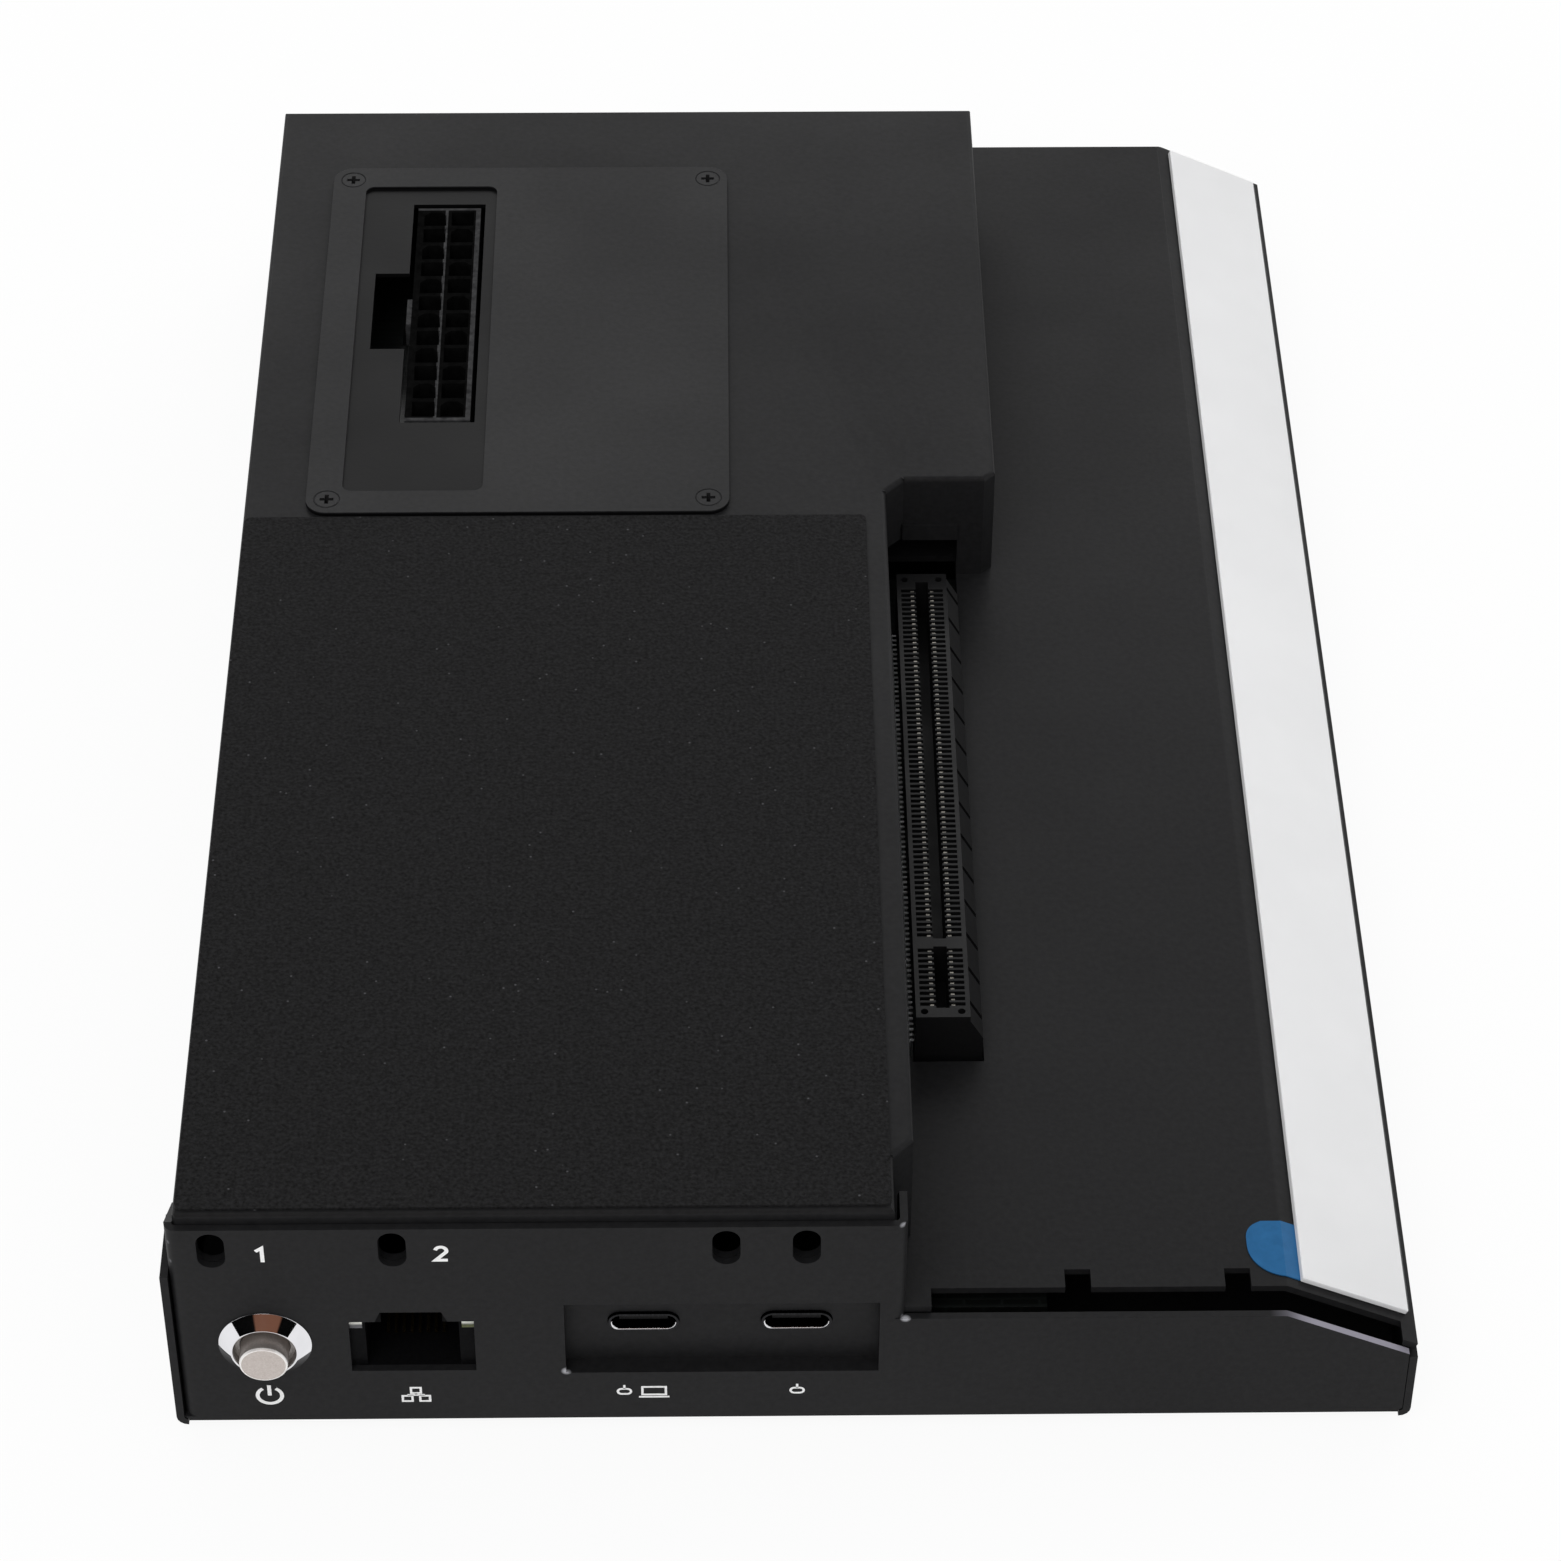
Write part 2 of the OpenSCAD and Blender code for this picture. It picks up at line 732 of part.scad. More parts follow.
module front_panel() in_place() color(steel_black) difference() {
    union() {
        along_y(0, sheet) panel_face();
        // the folds at both ends of the tall part
        translate([0, 0, panel_low_h]) linear_extrude(panel_h - panel_low_h) folded_sheet([
            [panel_left, fold_d],
            [panel_left, 0],
            [tall_right, 0],
            [tall_right, fold_d]
        ]);
        translate([0, 0, fold_foot]) linear_extrude(panel_h - fold_foot) folded_sheet([
            [panel_left, fold_d],
            [panel_left, 0],
            [panel_left + 2 * bend_r, 0]
        ]);
        // the flange that lies on the floor
        box_between(
            [panel_left + bend_r, 0, sheet],
            [panel_right - bend_r, panel_left + flange_d, 2 * sheet]
        );
        // the back of the pressed recess
        box_between(
            [pocket_x - sheet, 0, pocket_low - sheet],
            [pocket_x + pocket_w + sheet, pocket_d + sheet, pocket_high + sheet]
        );
    }
    box_between([pocket_x, -over, pocket_low], [pocket_x + pocket_w, pocket_d, pocket_high]);
    // the left fold slopes down behind the face, the right one stays level for a while
    along_x(0, fold_d) fold_slope(bend_r);
    along_x(tall_right - fold_d, box_narrow) fold_slope(ear_d);
    // and the right one stops above the deck
    box_between([tall_right - bend_r, sheet, panel_low_h - over], [box_narrow, fold_d + over, deck_h]);
    along_y(-over, sheet + over) jack_opening();
    along_y(-over, sheet + over) translate([button_x, button_z]) circle(barrel_r + fit_gap / 2);
    along_y(-over, sheet + over) for (x = screw_slot_xs)
        translate([x, screw_slot_z]) round_slot(screw_slot_w, screw_slot_h);
    along_y(0, pocket_d + sheet + over) for (x = [left_port_x, right_port_x])
        translate([x, port_z]) port_outline(port_w + 2 * fit_gap, port_h + 2 * fit_gap);
    for (x = floor_places) translate([x, flange_screw_y, 0])
        cylinder(h = 2 * sheet + over, r = screw_r + fit_gap / 2);
}

module box_cover() in_place() color(steel_black) {
    difference() {
        translate([0, 0, deck_h]) linear_extrude(lid_h - deck_h) polygon(box_ring);
        translate([0, 0, deck_h - over]) linear_extrude(lid_low - deck_h + over)
            polygon(inset_ring(box_ring, sheet));
        for (i = [0 : len(box_ring) - 1]) lid_edge(box_ring, i);
        // the front corner clears the round inside the front panel's fold
        translate([0, 0, deck_h - over]) linear_extrude(lid_h - deck_h + 2 * over) polygon([
            [box_left - over, box_front - over],
            [box_left + front_corner + over, box_front - over],
            [box_left - over, box_front + front_corner + over]
        ]);
        // the front flange ends above the ports, and the side clears the back of their recess
        box_between(
            [box_left + sheet, 0, deck_h - over],
            [jog_x - sheet, box_front + sheet + over, left_wall_h]
        );
        box_between(
            [pocket_x, 0, deck_h - over],
            [jog_x + over, pocket_d + sheet + fit_gap, pocket_high + sheet + fit_gap]
        );
        along_y(0, box_front + sheet + over) for (x = screw_slot_xs)
            translate([x, screw_slot_z]) round_slot(screw_slot_w, screw_slot_h);
        box_between(
            [plate_x + lid_hole_in, plate_y + lid_hole_in, lid_low - over],
            [plate_x + plate_w - lid_hole_in, plate_y + plate_d - lid_hole_in, lid_h + over]
        );
        for (place = plate_places) translate([place.x, place.y, lid_low - over])
            cylinder(h = sheet + 2 * over, r = screw_r + fit_gap / 2);
        // the window over the slot's opening
        box_between(
            [box_narrow + window_side, step_y - jog_w, deck_h - over],
            [opening_x, step_y + sheet + over, deck_h + window_h]
        );
    }
    // the hem along the window's top
    box_between(
        [box_narrow + jog_w, step_y - hem_t, deck_h + window_h],
        [opening_x, step_y, deck_h + window_h + hem_h]
    );
}

module deck_cover() in_place() color(steel_black) difference() {
    union() {
        along_y(panel_left, case_d) folded_sheet(deck_path(deck_left));
        along_y(box_d - deck_lap, case_d) folded_sheet(deck_path(panel_left));
        along_y(case_d - sheet, case_d) polygon([
            [0, skirt_foot],
            [case_w, skirt_foot],
            [case_w, slope_edge_h - slope_skin / 2],
            [slope_x, deck_h - slope_skin / 2],
            [slope_x, deck_h],
            [0, deck_h]
        ]);
    }
    box_between([bracket_x, 0, 0], [case_w - bracket_end, bracket_y, deck_h + over]);
    for (x = [tab_x, tab_x + tab_span])
        box_between([x - tab_w / 2, sheet, 0], [x + tab_w / 2, bracket_y + tab_d, deck_h + over]);
    box_between(
        [deck_left - over, opening_y, deck_h - sheet - over],
        [opening_x, opening_back, deck_h + over]
    );
    // its lap clears the back of the ports' recess
    box_between(
        [deck_left - over, 0, deck_h - sheet - over],
        [pocket_x + pocket_w + sheet + fit_gap, pocket_d + sheet + fit_gap, deck_h + over]
    );
    translate([case_w, case_d, deck_h]) rotate([0, 0, 180]) edge_round(case_w, bend_r - sheet);
    for (x = rear_places) translate([x, case_d, rear_screw_z]) rotate([-90, 0, 0])
        sunk_hole(sheet_head_r, sheet);
}

module power_supply_mat() in_place() color([0.13, 0.13, 0.13])
    translate([box_left + mat_side, box_front + mat_front, lid_h]) linear_extrude(mat_t)
        round_plate(jog_x - box_left - 2 * mat_side, mat_d, mat_r);

module plug_plate() in_place() color([0.22, 0.22, 0.23]) difference() {
    union() {
        translate([plate_x, plate_y, lid_h]) linear_extrude(plate_t) round_plate(plate_w, plate_d, plate_r);
        translate([field_x - field_wall, field_y - field_wall, lid_h - field_drop])
            linear_extrude(plate_t)
                round_plate(field_w + 2 * field_wall, field_d + 2 * field_wall, field_r + field_wall);
    }
    translate([field_x, field_y, plate_top - field_drop]) linear_extrude(plate_t)
        round_plate(field_w, field_d, field_r);
    translate([header_x - header_gap, header_y - header_gap, lid_low])
        cube([header_w + 2 * header_gap, header_d + 2 * header_gap, sheet + plate_t + over]);
    translate([header_x - header_gap - latch_w, header_y + (header_d - latch_d) / 2, lid_low])
        cube([latch_w + header_gap, latch_d, sheet + plate_t + over]);
    for (place = plate_places) translate([place.x, place.y, plate_top])
        sunk_hole(plate_head_r, plate_t);
}

module plug_plate_screws() in_place() color(steel_black)
    for (place = plate_places) translate([place.x, place.y, plate_top])
        sunk_screw(plate_head_r, plate_screw_d);

// One cell of the header, with two corners cut where the plug's post is keyed
module header_cell(keyed) {
    w = cell_pitch - cell_wall;
    cut = keyed ? cell_corner : 0;
    polygon([[0, 0], [w, 0], [w, w - cut], [w - cut, w], [cut, w], [0, w - cut]]);
}

// The places of the header's pins
pin_places = [
    for (column = [0, 1], row = [0 : cell_rows - 1]) [
        header_x + header_wall + column * cell_pitch + (cell_pitch - cell_wall) / 2,
        header_y + header_wall + row * cell_pitch + (cell_pitch - cell_wall) / 2
    ]
];

module header_housing() in_place() color(plastic_black) {
    difference() {
        translate([header_x, header_y, power_top]) cube([header_w, header_d, header_h]);
        for (column = [0, 1], row = [0 : cell_rows - 1]) translate([
            header_x + header_wall + column * cell_pitch,
            header_y + header_wall + row * cell_pitch,
            power_top + header_floor
        ]) linear_extrude(header_h) header_cell((column + row) % 2 == 1);
        for (place = pin_places) translate([place.x, place.y, power_top + header_floor / 2])
            cube([pin_w, pin_w, header_floor + 2 * over], center = true);
    }
    // the catch that the plug's latch hooks under
    translate([header_x - catch_w, header_y + header_d / 2, lid_h - catch_h]) rotate([90, 0, 0])
        linear_extrude(catch_d, center = true)
        polygon([[0, 0], [catch_w, 0], [catch_w, catch_h], [catch_w / 2, catch_h]]);
}

module header_pins() in_place() color(brass)
    for (place = pin_places) translate([place.x - pin_w / 2, place.y - pin_w / 2, power_low - pin_tail])
        cube([pin_w, pin_w, power_top - power_low + pin_tail + header_h - pin_drop]);

module power_board() in_place() color(board_black) translate([0, 0, power_low]) linear_extrude(board_t)
    difference() {
        translate([plate_x, power_y]) square([plate_w, power_d]);
        for (place = power_places) translate(place) circle(screw_r + fit_gap);
        for (place = pin_places) translate(place) circle(pin_w * sqrt(2) / 2 + fit_gap / 2);
    }

module power_board_standoffs() in_place() color(zinc)
    for (place = power_places) translate([place.x, place.y, sheet]) standoff(power_low - sheet);

module power_board_screws() in_place() color(zinc)
    for (place = power_places) translate([place.x, place.y, power_top]) pan_screw();

module capacitors() in_place() color([0.2, 0.2, 0.24])
    for (i = [0 : caps - 1])
        translate([plate_x + plate_w - cap_in, power_y + part_end + i * cap_pitch, power_top])
            cylinder(h = cap_h, r = cap_r);

module inductors() in_place() color([0.25, 0.25, 0.26])
    for (i = [0 : chokes - 1])
        translate([plate_x + plate_w - choke_in, power_y + part_end + i * choke_pitch, power_top])
            cube([choke_w, choke_w, choke_h]);

module main_board() in_place() color(board_black) translate([0, 0, board_low]) linear_extrude(board_t)
    difference() {
        translate([main_left, main_front]) square([main_right - main_left, main_d]);
        // room for the tongue of the card's bracket
        translate([bracket_x - board_gap, 0]) square([main_right, bracket_y + board_gap]);
        translate([jack_x - jack_w / 2, 0]) square([jack_w, sheet + jack_d]);
        for (x = [left_port_x, right_port_x]) translate([x - port_w / 2 - fit_gap, 0])
            square([port_w + 2 * fit_gap, port_front + port_d + fit_gap]);
        for (place = main_places) translate(place) circle(screw_r + fit_gap);
    }

module main_board_standoffs() in_place() color(zinc)
    for (place = main_places) translate([place.x, place.y, sheet]) standoff(board_low - sheet);

module main_board_screws() in_place() color(zinc)
    for (place = main_places) translate([place.x, place.y, board_top]) pan_screw();

module controller_chip() in_place() color([0.1, 0.1, 0.1])
    translate([chip_x - chip_w / 2, chip_y - chip_w / 2, board_top]) cube([chip_w, chip_w, chip_t]);

module heat_sink() in_place() color([0.3, 0.3, 0.32])
    translate([chip_x - sink_w / 2, chip_y - sink_w / 2, board_top + chip_t]) difference() {
        cube([sink_w, sink_w, sink_h]);
        gap = (sink_w - fins * fin_t) / (fins - 1);
        for (i = [0 : fins - 2]) translate([fin_t + i * (gap + fin_t), -over, sink_t])
            cube([gap, sink_w + 2 * over, sink_h]);
    }

module ribbon_sockets() in_place() color([0.85, 0.84, 0.8]) {
    translate([ribbon_x, low_socket_y, board_top]) cube([socket_w, socket_d, socket_h]);
    translate([ribbon_x, high_socket_y, power_top]) cube([socket_w, socket_d, socket_h]);
}

module ribbon_cable() in_place() color([0.3, 0.3, 0.3]) {
    low_y = low_socket_y + socket_d / 2;
    high_y = high_socket_y + socket_d / 2;
    start = ribbon_x + (socket_w - ribbon_w) / 2;
    along_x(start, start + ribbon_w) folded_sheet([
        [low_y, board_top + socket_h],
        [low_y, ribbon_top],
        [high_y, ribbon_top],
        [high_y, power_top + socket_h]
    ], ribbon_t, ribbon_r);
}

// The card's channel with a cell for each contact on both sides, as one outline
function cell_side(count, side) = [
    for (i = [0 : count - 1]) let (y = lead_in + i * contact_pitch) each [
        [side * channel_w / 2, y - cell_w / 2],
        [side * cell_reach, y - cell_w / 2],
        [side * cell_reach, y + cell_w / 2],
        [side * channel_w / 2, y + cell_w / 2]
    ]
];

module channel(count, length) {
    polygon(concat(
        [[channel_w / 2, 0]],
        cell_side(count, 1),
        [[channel_w / 2, length], [-channel_w / 2, length]],
        reverse(cell_side(count, -1)),
        [[-channel_w / 2, 0]]
    ));
}

first_y = slot_y + end_wall;
second_y = first_y + first_channel + key_w;

module card_slot_housing() in_place() color(plastic_black) {
    difference() {
        translate([slot_x, slot_y, board_top]) cube([slot_w, slot_len, slot_h]);
        translate([slot_mid, first_y, slot_top - cell_depth]) linear_extrude(cell_depth + over)
            channel(first_contacts, first_channel);
        translate([slot_mid, second_y, slot_top - cell_depth]) linear_extrude(cell_depth + over)
            channel(second_contacts, second_channel + channel_run_out);
        for (x = [lock_in, slot_w - lock_in], y = [lock_in, slot_len - lock_in])
            translate([slot_x + x, slot_y + y - fit_gap, slot_top - lock_drop])
                cylinder(h = lock_drop + over, r = lock_r);
    }
    // the buttress along the outer side, cut into steps by narrow slots
    difference() {
        along_y(slot_y, slot_y + slot_len) translate([slot_x + slot_w, board_top]) polygon([
            [0, 0],
            [buttress_w, 0],
            [buttress_w, slot_h - buttress_low],
            [0, slot_h - contact_drop]
        ]);
        for (y = [buttress_pitch / 2 : buttress_pitch : slot_len - buttress_cut])
            translate([slot_x + slot_w, slot_y + y, board_top - over])
                cube([buttress_w + over, buttress_cut, slot_h + over]);
    }
}

module contact_row(start, count) {
    for (i = [0 : count - 1], side = [-1, 1]) translate([
        slot_mid + side * (channel_w / 2 + contact_in + contact_w / 2) - contact_w / 2,
        start + lead_in + i * contact_pitch - contact_t / 2,
        slot_top - cell_depth
    ]) cube([contact_w, contact_t, cell_depth - tip_drop]);
}

module card_slot_contacts() in_place() color(brass) {
    contact_row(first_y, first_contacts);
    contact_row(second_y, second_contacts);
}

// A port's shell, with a leg on each side that is soldered to the board
module port_shell(x) in_place() color([0.85, 0.85, 0.86]) {
    along_y(port_front, port_front + port_d) translate([x, port_z]) difference() {
        port_outline(port_w, port_h);
        port_outline(port_w - 2 * port_wall, port_h - 2 * port_wall);
    }
    for (side = [-1, 1])
        translate([x + side * (port_w + leg_w) / 2, port_front + port_d - leg_back, board_top + leg_t / 2])
            cube([leg_w + port_wall, leg_d, leg_t], center = true);
}

module port_tongue(x) in_place() color(plastic_black) {
    back = port_front + port_d;
    inner_w = port_w - 2 * (port_wall + plunger_gap);
    inner_h = port_h - 2 * port_wall;
    along_y(back - port_block_d, back) translate([x, port_z]) port_outline(inner_w, inner_h);
    along_y(port_front + tongue_in, back - port_block_d) translate([x, port_z])
        square([inner_w * tongue_share, tongue_t], center = true);
}

module left_port_shell() port_shell(left_port_x);
module right_port_shell() port_shell(right_port_x);
module left_port_tongue() port_tongue(left_port_x);
module right_port_tongue() port_tongue(right_port_x);

module jack_block(in) {
    translate([jack_x - jack_w / 2 + in, jack_low + in]) square([jack_w - 2 * in, jack_h - 2 * in]);
}

module jack_shell() in_place() color([0.55, 0.55, 0.57])
    difference() {
        along_y(sheet, sheet + jack_d) jack_block(0);
        along_y(sheet - over, sheet + jack_d - jack_wall) jack_block(jack_wall);
    }

// The mouth that takes the plug, with the step for its latch
module jack_mouth() {
    half = jack_open_w * mouth_share / 2;
    notch = jack_open_w * jack_notch_share / 2;
    translate([jack_x, jack_foot]) polygon([
        [-half, 0],
        [half, 0],
        [half, jack_open_h - light_h / 2],
        [notch, jack_open_h - light_h / 2],
        [notch, jack_open_h + jack_notch_h - jack_wall],
        [-notch, jack_open_h + jack_notch_h - jack_wall],
        [-notch, jack_open_h - light_h / 2],
        [-half, jack_open_h - light_h / 2]
    ]);
}

// The two light windows in the jack's upper corners
module jack_windows(grow) {
    for (side = [-1, 1])
        translate([jack_x + side * (jack_open_w - light_w) / 2, jack_foot + jack_open_h - light_h / 2])
            square([light_w + grow, light_h + grow], center = true);
}

module jack_insert() in_place() color(plastic_black) difference() {
    along_y(sheet, sheet + jack_d - jack_wall) jack_block(jack_wall);
    along_y(0, sheet + mouth_d) jack_mouth();
    along_y(0, sheet + light_d) jack_windows(plunger_gap);
}

module jack_contacts() in_place() color(brass)
    for (i = [0 : wires - 1]) {
        x = jack_x + (i - (wires - 1) / 2) * wire_pitch;
        along_x(x - wire_t / 2, x + wire_t / 2) polygon([
            [sheet + mouth_d, jack_foot + wire_rise],
            [sheet + mouth_d, jack_foot + wire_rise + wire_t],
            [sheet + wire_front, jack_foot + 2 * wire_t],
            [sheet + wire_front, jack_foot + wire_t]
        ]);
    }

module jack_lights() in_place() color([0.75, 0.8, 0.4])
    along_y(sheet, sheet + light_d) jack_windows(0);

// Turns a piece drawn along +Z so that it stands on the button's axis, with +Z to the front
module on_button_axis() {
    translate([button_x, 0, button_z]) rotate([90, 0, 0]) children();
}

module button_body() in_place() color([0.85, 0.85, 0.87]) on_button_axis() rotate_extrude() polygon([
    [bore_r, bezel_h - bezel_rim_t],
    [bore_r + bezel_rim_t, bezel_h],
    [bore_r + bezel_ring_w, bezel_h],
    [(bore_r + bezel_ring_w + bezel_r) / 2, bezel_rim_t + (bezel_h - bezel_rim_t) * dome_share],
    [bezel_r, bezel_rim_t],
    [bezel_r, 0],
    [barrel_r, 0],
    [barrel_r, -barrel_d],
    [chamber_r, -barrel_d],
    [chamber_r, -neck_d],
    [bore_r, -neck_d]
]);

module button_nut() in_place() color(zinc) on_button_axis() translate([0, 0, -sheet - nut_t]) difference() {
    cylinder(h = nut_t, d = nut_across / cos(30), $fn = 6);
    translate([0, 0, -over]) cylinder(h = nut_t + 2 * over, r = barrel_r + fit_gap / 2);
}

module button_plunger() in_place() color([0.75, 0.73, 0.7]) on_button_axis() rotate_extrude() {
    top = bezel_h + plunger_out;
    collar_top = -neck_d - plunger_gap;
    polygon([
        [0, top],
        [plunger_r - plunger_edge, top],
        [plunger_r, top - plunger_edge],
        [plunger_r, collar_top],
        [collar_r, collar_top],
        [collar_r, collar_top - collar_t],
        [stem_r, collar_top - collar_t],
        [stem_r, collar_top - collar_t - stem_d],
        [0, collar_top - collar_t - stem_d]
    ]);
}

// A wire wound round +Z, as rings of points joined side to side
module coil(r, wire, turns, height) {
    rings = turns * coil_steps;
    points = [
        for (i = [0 : rings], j = [0 : coil_sides - 1])
            let (a = 360 * i / coil_steps, b = 360 * j / coil_sides, reach = r + wire * cos(b))
            [reach * cos(a), reach * sin(a), wire + (height - 2 * wire) * i / rings + wire * sin(b)]
    ];
    sides = [
        for (i = [0 : rings - 1], j = [0 : coil_sides - 1])
            let (k = (j + 1) % coil_sides, low = i * coil_sides, high = low + coil_sides)
            [low + j, high + j, high + k, low + k]
    ];
    first = [for (j = [0 : coil_sides - 1]) j];
    last = [for (j = [coil_sides - 1 : -1 : 0]) rings * coil_sides + j];
    polyhedron(points, concat(sides, [first, last]));
}

module button_spring() in_place() color(zinc) on_button_axis()
    translate([0, 0, -base_top]) coil(spring_r, spring_wire, spring_turns, base_top - spring_top);

// The plug that closes the barrel and carries the terminals
module button_base() in_place() color([0.2, 0.2, 0.2]) on_button_axis()
    translate([0, 0, -barrel_d]) {
        cylinder(h = base_t, r = chamber_r - plunger_gap);
        translate([0, 0, -base_rim_t]) cylinder(h = base_rim_t, r = barrel_r);
    }

module button_terminals() in_place() color(brass) on_button_axis()
    for (side = [-1, 1]) translate([side * terminal_in, 0, -barrel_d - base_rim_t - terminal_d / 2])
        cube([terminal_t, terminal_w, terminal_d], center = true);

// Turns a piece drawn on a flat so that it lies on the slope, with +X down the slope
module on_slope() {
    translate([slope_x, 0, deck_h]) rotate([0, slope_angle, 0]) children();
}

trim_d = case_d - trim_front - trim_back;

module trim_strip() in_place() color([0.92, 0.92, 0.92]) on_slope()
    translate([trim_in, trim_front, 0]) cube([trim_w, trim_d, trim_t]);

module protective_film() in_place() color([0.9, 0.93, 0.95, 0.4]) on_slope()
    translate([trim_in, trim_front, trim_t]) cube([trim_w, trim_d, film_t]);

// Corner radii of the film's pull tab, at the front and at the back
tab_near_r = 5.2;
tab_far_r = 2.7;
module film_tab() in_place() color([0.2, 0.4, 0.55]) {
    slope_run = trim_in * cos(slope_angle);
    slope_fall = trim_in * sin(slope_angle);
    tip_x = slope_x - film_tab_out;
    tab_y = trim_front + film_t;
    tab_back = tab_y + film_tab_d;
    intersection() {
        along_y(tab_y, tab_back) folded_sheet(offset_path([
            [slope_x + slope_run, deck_h - slope_fall],
            [slope_x, deck_h],
            [slope_x - film_tab_out, deck_h]
        ], -film_t), film_t, 2 * film_t);
        translate([0, 0, deck_h - slope_drop]) linear_extrude(slope_drop + over) {
            translate([tip_x + tab_near_r, tab_y + tab_near_r]) circle(tab_near_r);
            translate([tip_x + tab_far_r, tab_back - tab_far_r]) circle(tab_far_r);
            translate([tip_x, tab_y + tab_near_r])
                square([slope_w, film_tab_d - tab_near_r - tab_far_r]);
            translate([tip_x + tab_far_r, tab_y + tab_near_r]) square([slope_w, film_tab_d - tab_near_r]);
            translate([tip_x + tab_near_r, tab_y]) square([slope_w, film_tab_d]);
        }
    }
}

module rubber_feet() in_place() color([0.08, 0.08, 0.08])
    for (place = foot_places) translate([place.x, place.y, -foot_h])
        cylinder(h = foot_h, r1 = foot_r - foot_bevel, r2 = foot_r);

module case_screws() in_place() color([0.12, 0.12, 0.12]) {
    for (x = rear_places) translate([x, case_d, rear_screw_z]) rotate([-90, 0, 0])
        sunk_screw(sheet_head_r, sheet_screw_d);
    for (x = floor_places) translate([x, flange_screw_y, 0]) rotate([180, 0, 0])
        sunk_screw(sheet_head_r, sheet_screw_d);
}

base_tray();
front_panel();
box_cover();
deck_cover();
power_supply_mat();
plug_plate();
plug_plate_screws();
header_housing();
header_pins();
power_board();
power_board_standoffs();
power_board_screws();
capacitors();
inductors();
main_board();
main_board_standoffs();
main_board_screws();
controller_chip();
heat_sink();
ribbon_cable();
ribbon_sockets();
card_slot_housing();
card_slot_contacts();
left_port_shell();
right_port_shell();
left_port_tongue();
right_port_tongue();
jack_shell();
jack_insert();
jack_contacts();
jack_lights();
button_body();
button_nut();
button_plunger();
button_spring();
button_base();
button_terminals();
trim_strip();
protective_film();
film_tab();
rubber_feet();
case_screws();
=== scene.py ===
import math

import bmesh
import bpy
from bpy.props import FloatProperty, FloatVectorProperty, PointerProperty
from bpy.types import Operator, Panel, PropertyGroup
from mathutils import Matrix, Quaternion, Vector


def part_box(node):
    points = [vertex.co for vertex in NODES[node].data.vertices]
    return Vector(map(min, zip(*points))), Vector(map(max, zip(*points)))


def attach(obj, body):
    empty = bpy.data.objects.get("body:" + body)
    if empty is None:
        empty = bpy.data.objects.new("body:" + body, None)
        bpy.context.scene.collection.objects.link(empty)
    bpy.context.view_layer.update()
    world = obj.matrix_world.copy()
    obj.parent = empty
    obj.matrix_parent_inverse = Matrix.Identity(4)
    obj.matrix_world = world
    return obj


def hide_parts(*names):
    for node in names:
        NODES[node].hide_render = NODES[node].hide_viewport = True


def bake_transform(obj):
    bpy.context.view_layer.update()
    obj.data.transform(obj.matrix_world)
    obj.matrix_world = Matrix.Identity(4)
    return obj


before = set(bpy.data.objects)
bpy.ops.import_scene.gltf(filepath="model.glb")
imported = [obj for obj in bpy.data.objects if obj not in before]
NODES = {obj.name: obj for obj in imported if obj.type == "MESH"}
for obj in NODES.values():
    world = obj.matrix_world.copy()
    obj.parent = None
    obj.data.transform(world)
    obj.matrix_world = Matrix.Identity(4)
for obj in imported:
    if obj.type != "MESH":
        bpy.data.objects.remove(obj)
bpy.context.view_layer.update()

bl_info = {
    "name": "Graphics card enclosure",
    "version": (1, 0, 0),
    "blender": (4, 5, 0),
    "location": "View3D > Sidebar > Enclosure",
    "description": "Finishes and fine parts of an external graphics card enclosure",
    "category": "Object",
}

MM = 0.001

# Places that the fine parts take from the frame
PANEL_LOW, PANEL_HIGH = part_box("front_panel")
BODY_LOW, BODY_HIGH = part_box("button_body")
PLUNGER_LOW, PLUNGER_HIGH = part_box("button_plunger")
SLOT_LOW, SLOT_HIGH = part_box("card_slot_housing")
PLATE_LOW, PLATE_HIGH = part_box("plug_plate")
JACK_LOW, JACK_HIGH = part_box("jack_lights")
HEADER_LOW, HEADER_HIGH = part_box("header_housing")
PORT_LOW, PORT_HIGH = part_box("left_port_shell")
BUTTON_X = (BODY_LOW.x + BODY_HIGH.x) / 2
BUTTON_Z = (BODY_LOW.z + BODY_HIGH.z) / 2
PORT_XS = [sum(c.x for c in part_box(n + "_port_shell")) / 2 for n in ("left", "right")]
JACK_X = (JACK_LOW.x + JACK_HIGH.x) / 2


def linear(hex_colour):
    """An sRGB hex colour as linear red, green and blue."""
    parts = [int(hex_colour[i:i + 2], 16) / 255 for i in (1, 3, 5)]
    return tuple(c / 12.92 if c <= 0.04045 else ((c + 0.055) / 1.055) ** 2.4 for c in parts)


def repeats(millimetres):
    """Scale of a pattern whose repeat is that long, as object coordinates are in metres."""
    return 1 / (millimetres * MM)


def add(tree, kind, sockets=(), **settings):
    """Adds a node. settings are its own fields; sockets are its inputs' values, or the outputs that feed them."""
    node = tree.nodes.new(kind)
    for name, value in settings.items():
        setattr(node, name, value)
    for name, value in dict(sockets).items():
        if isinstance(value, bpy.types.NodeSocket):
            tree.links.new(value, node.inputs[name])
        else:
            node.inputs[name].default_value = value
    return node


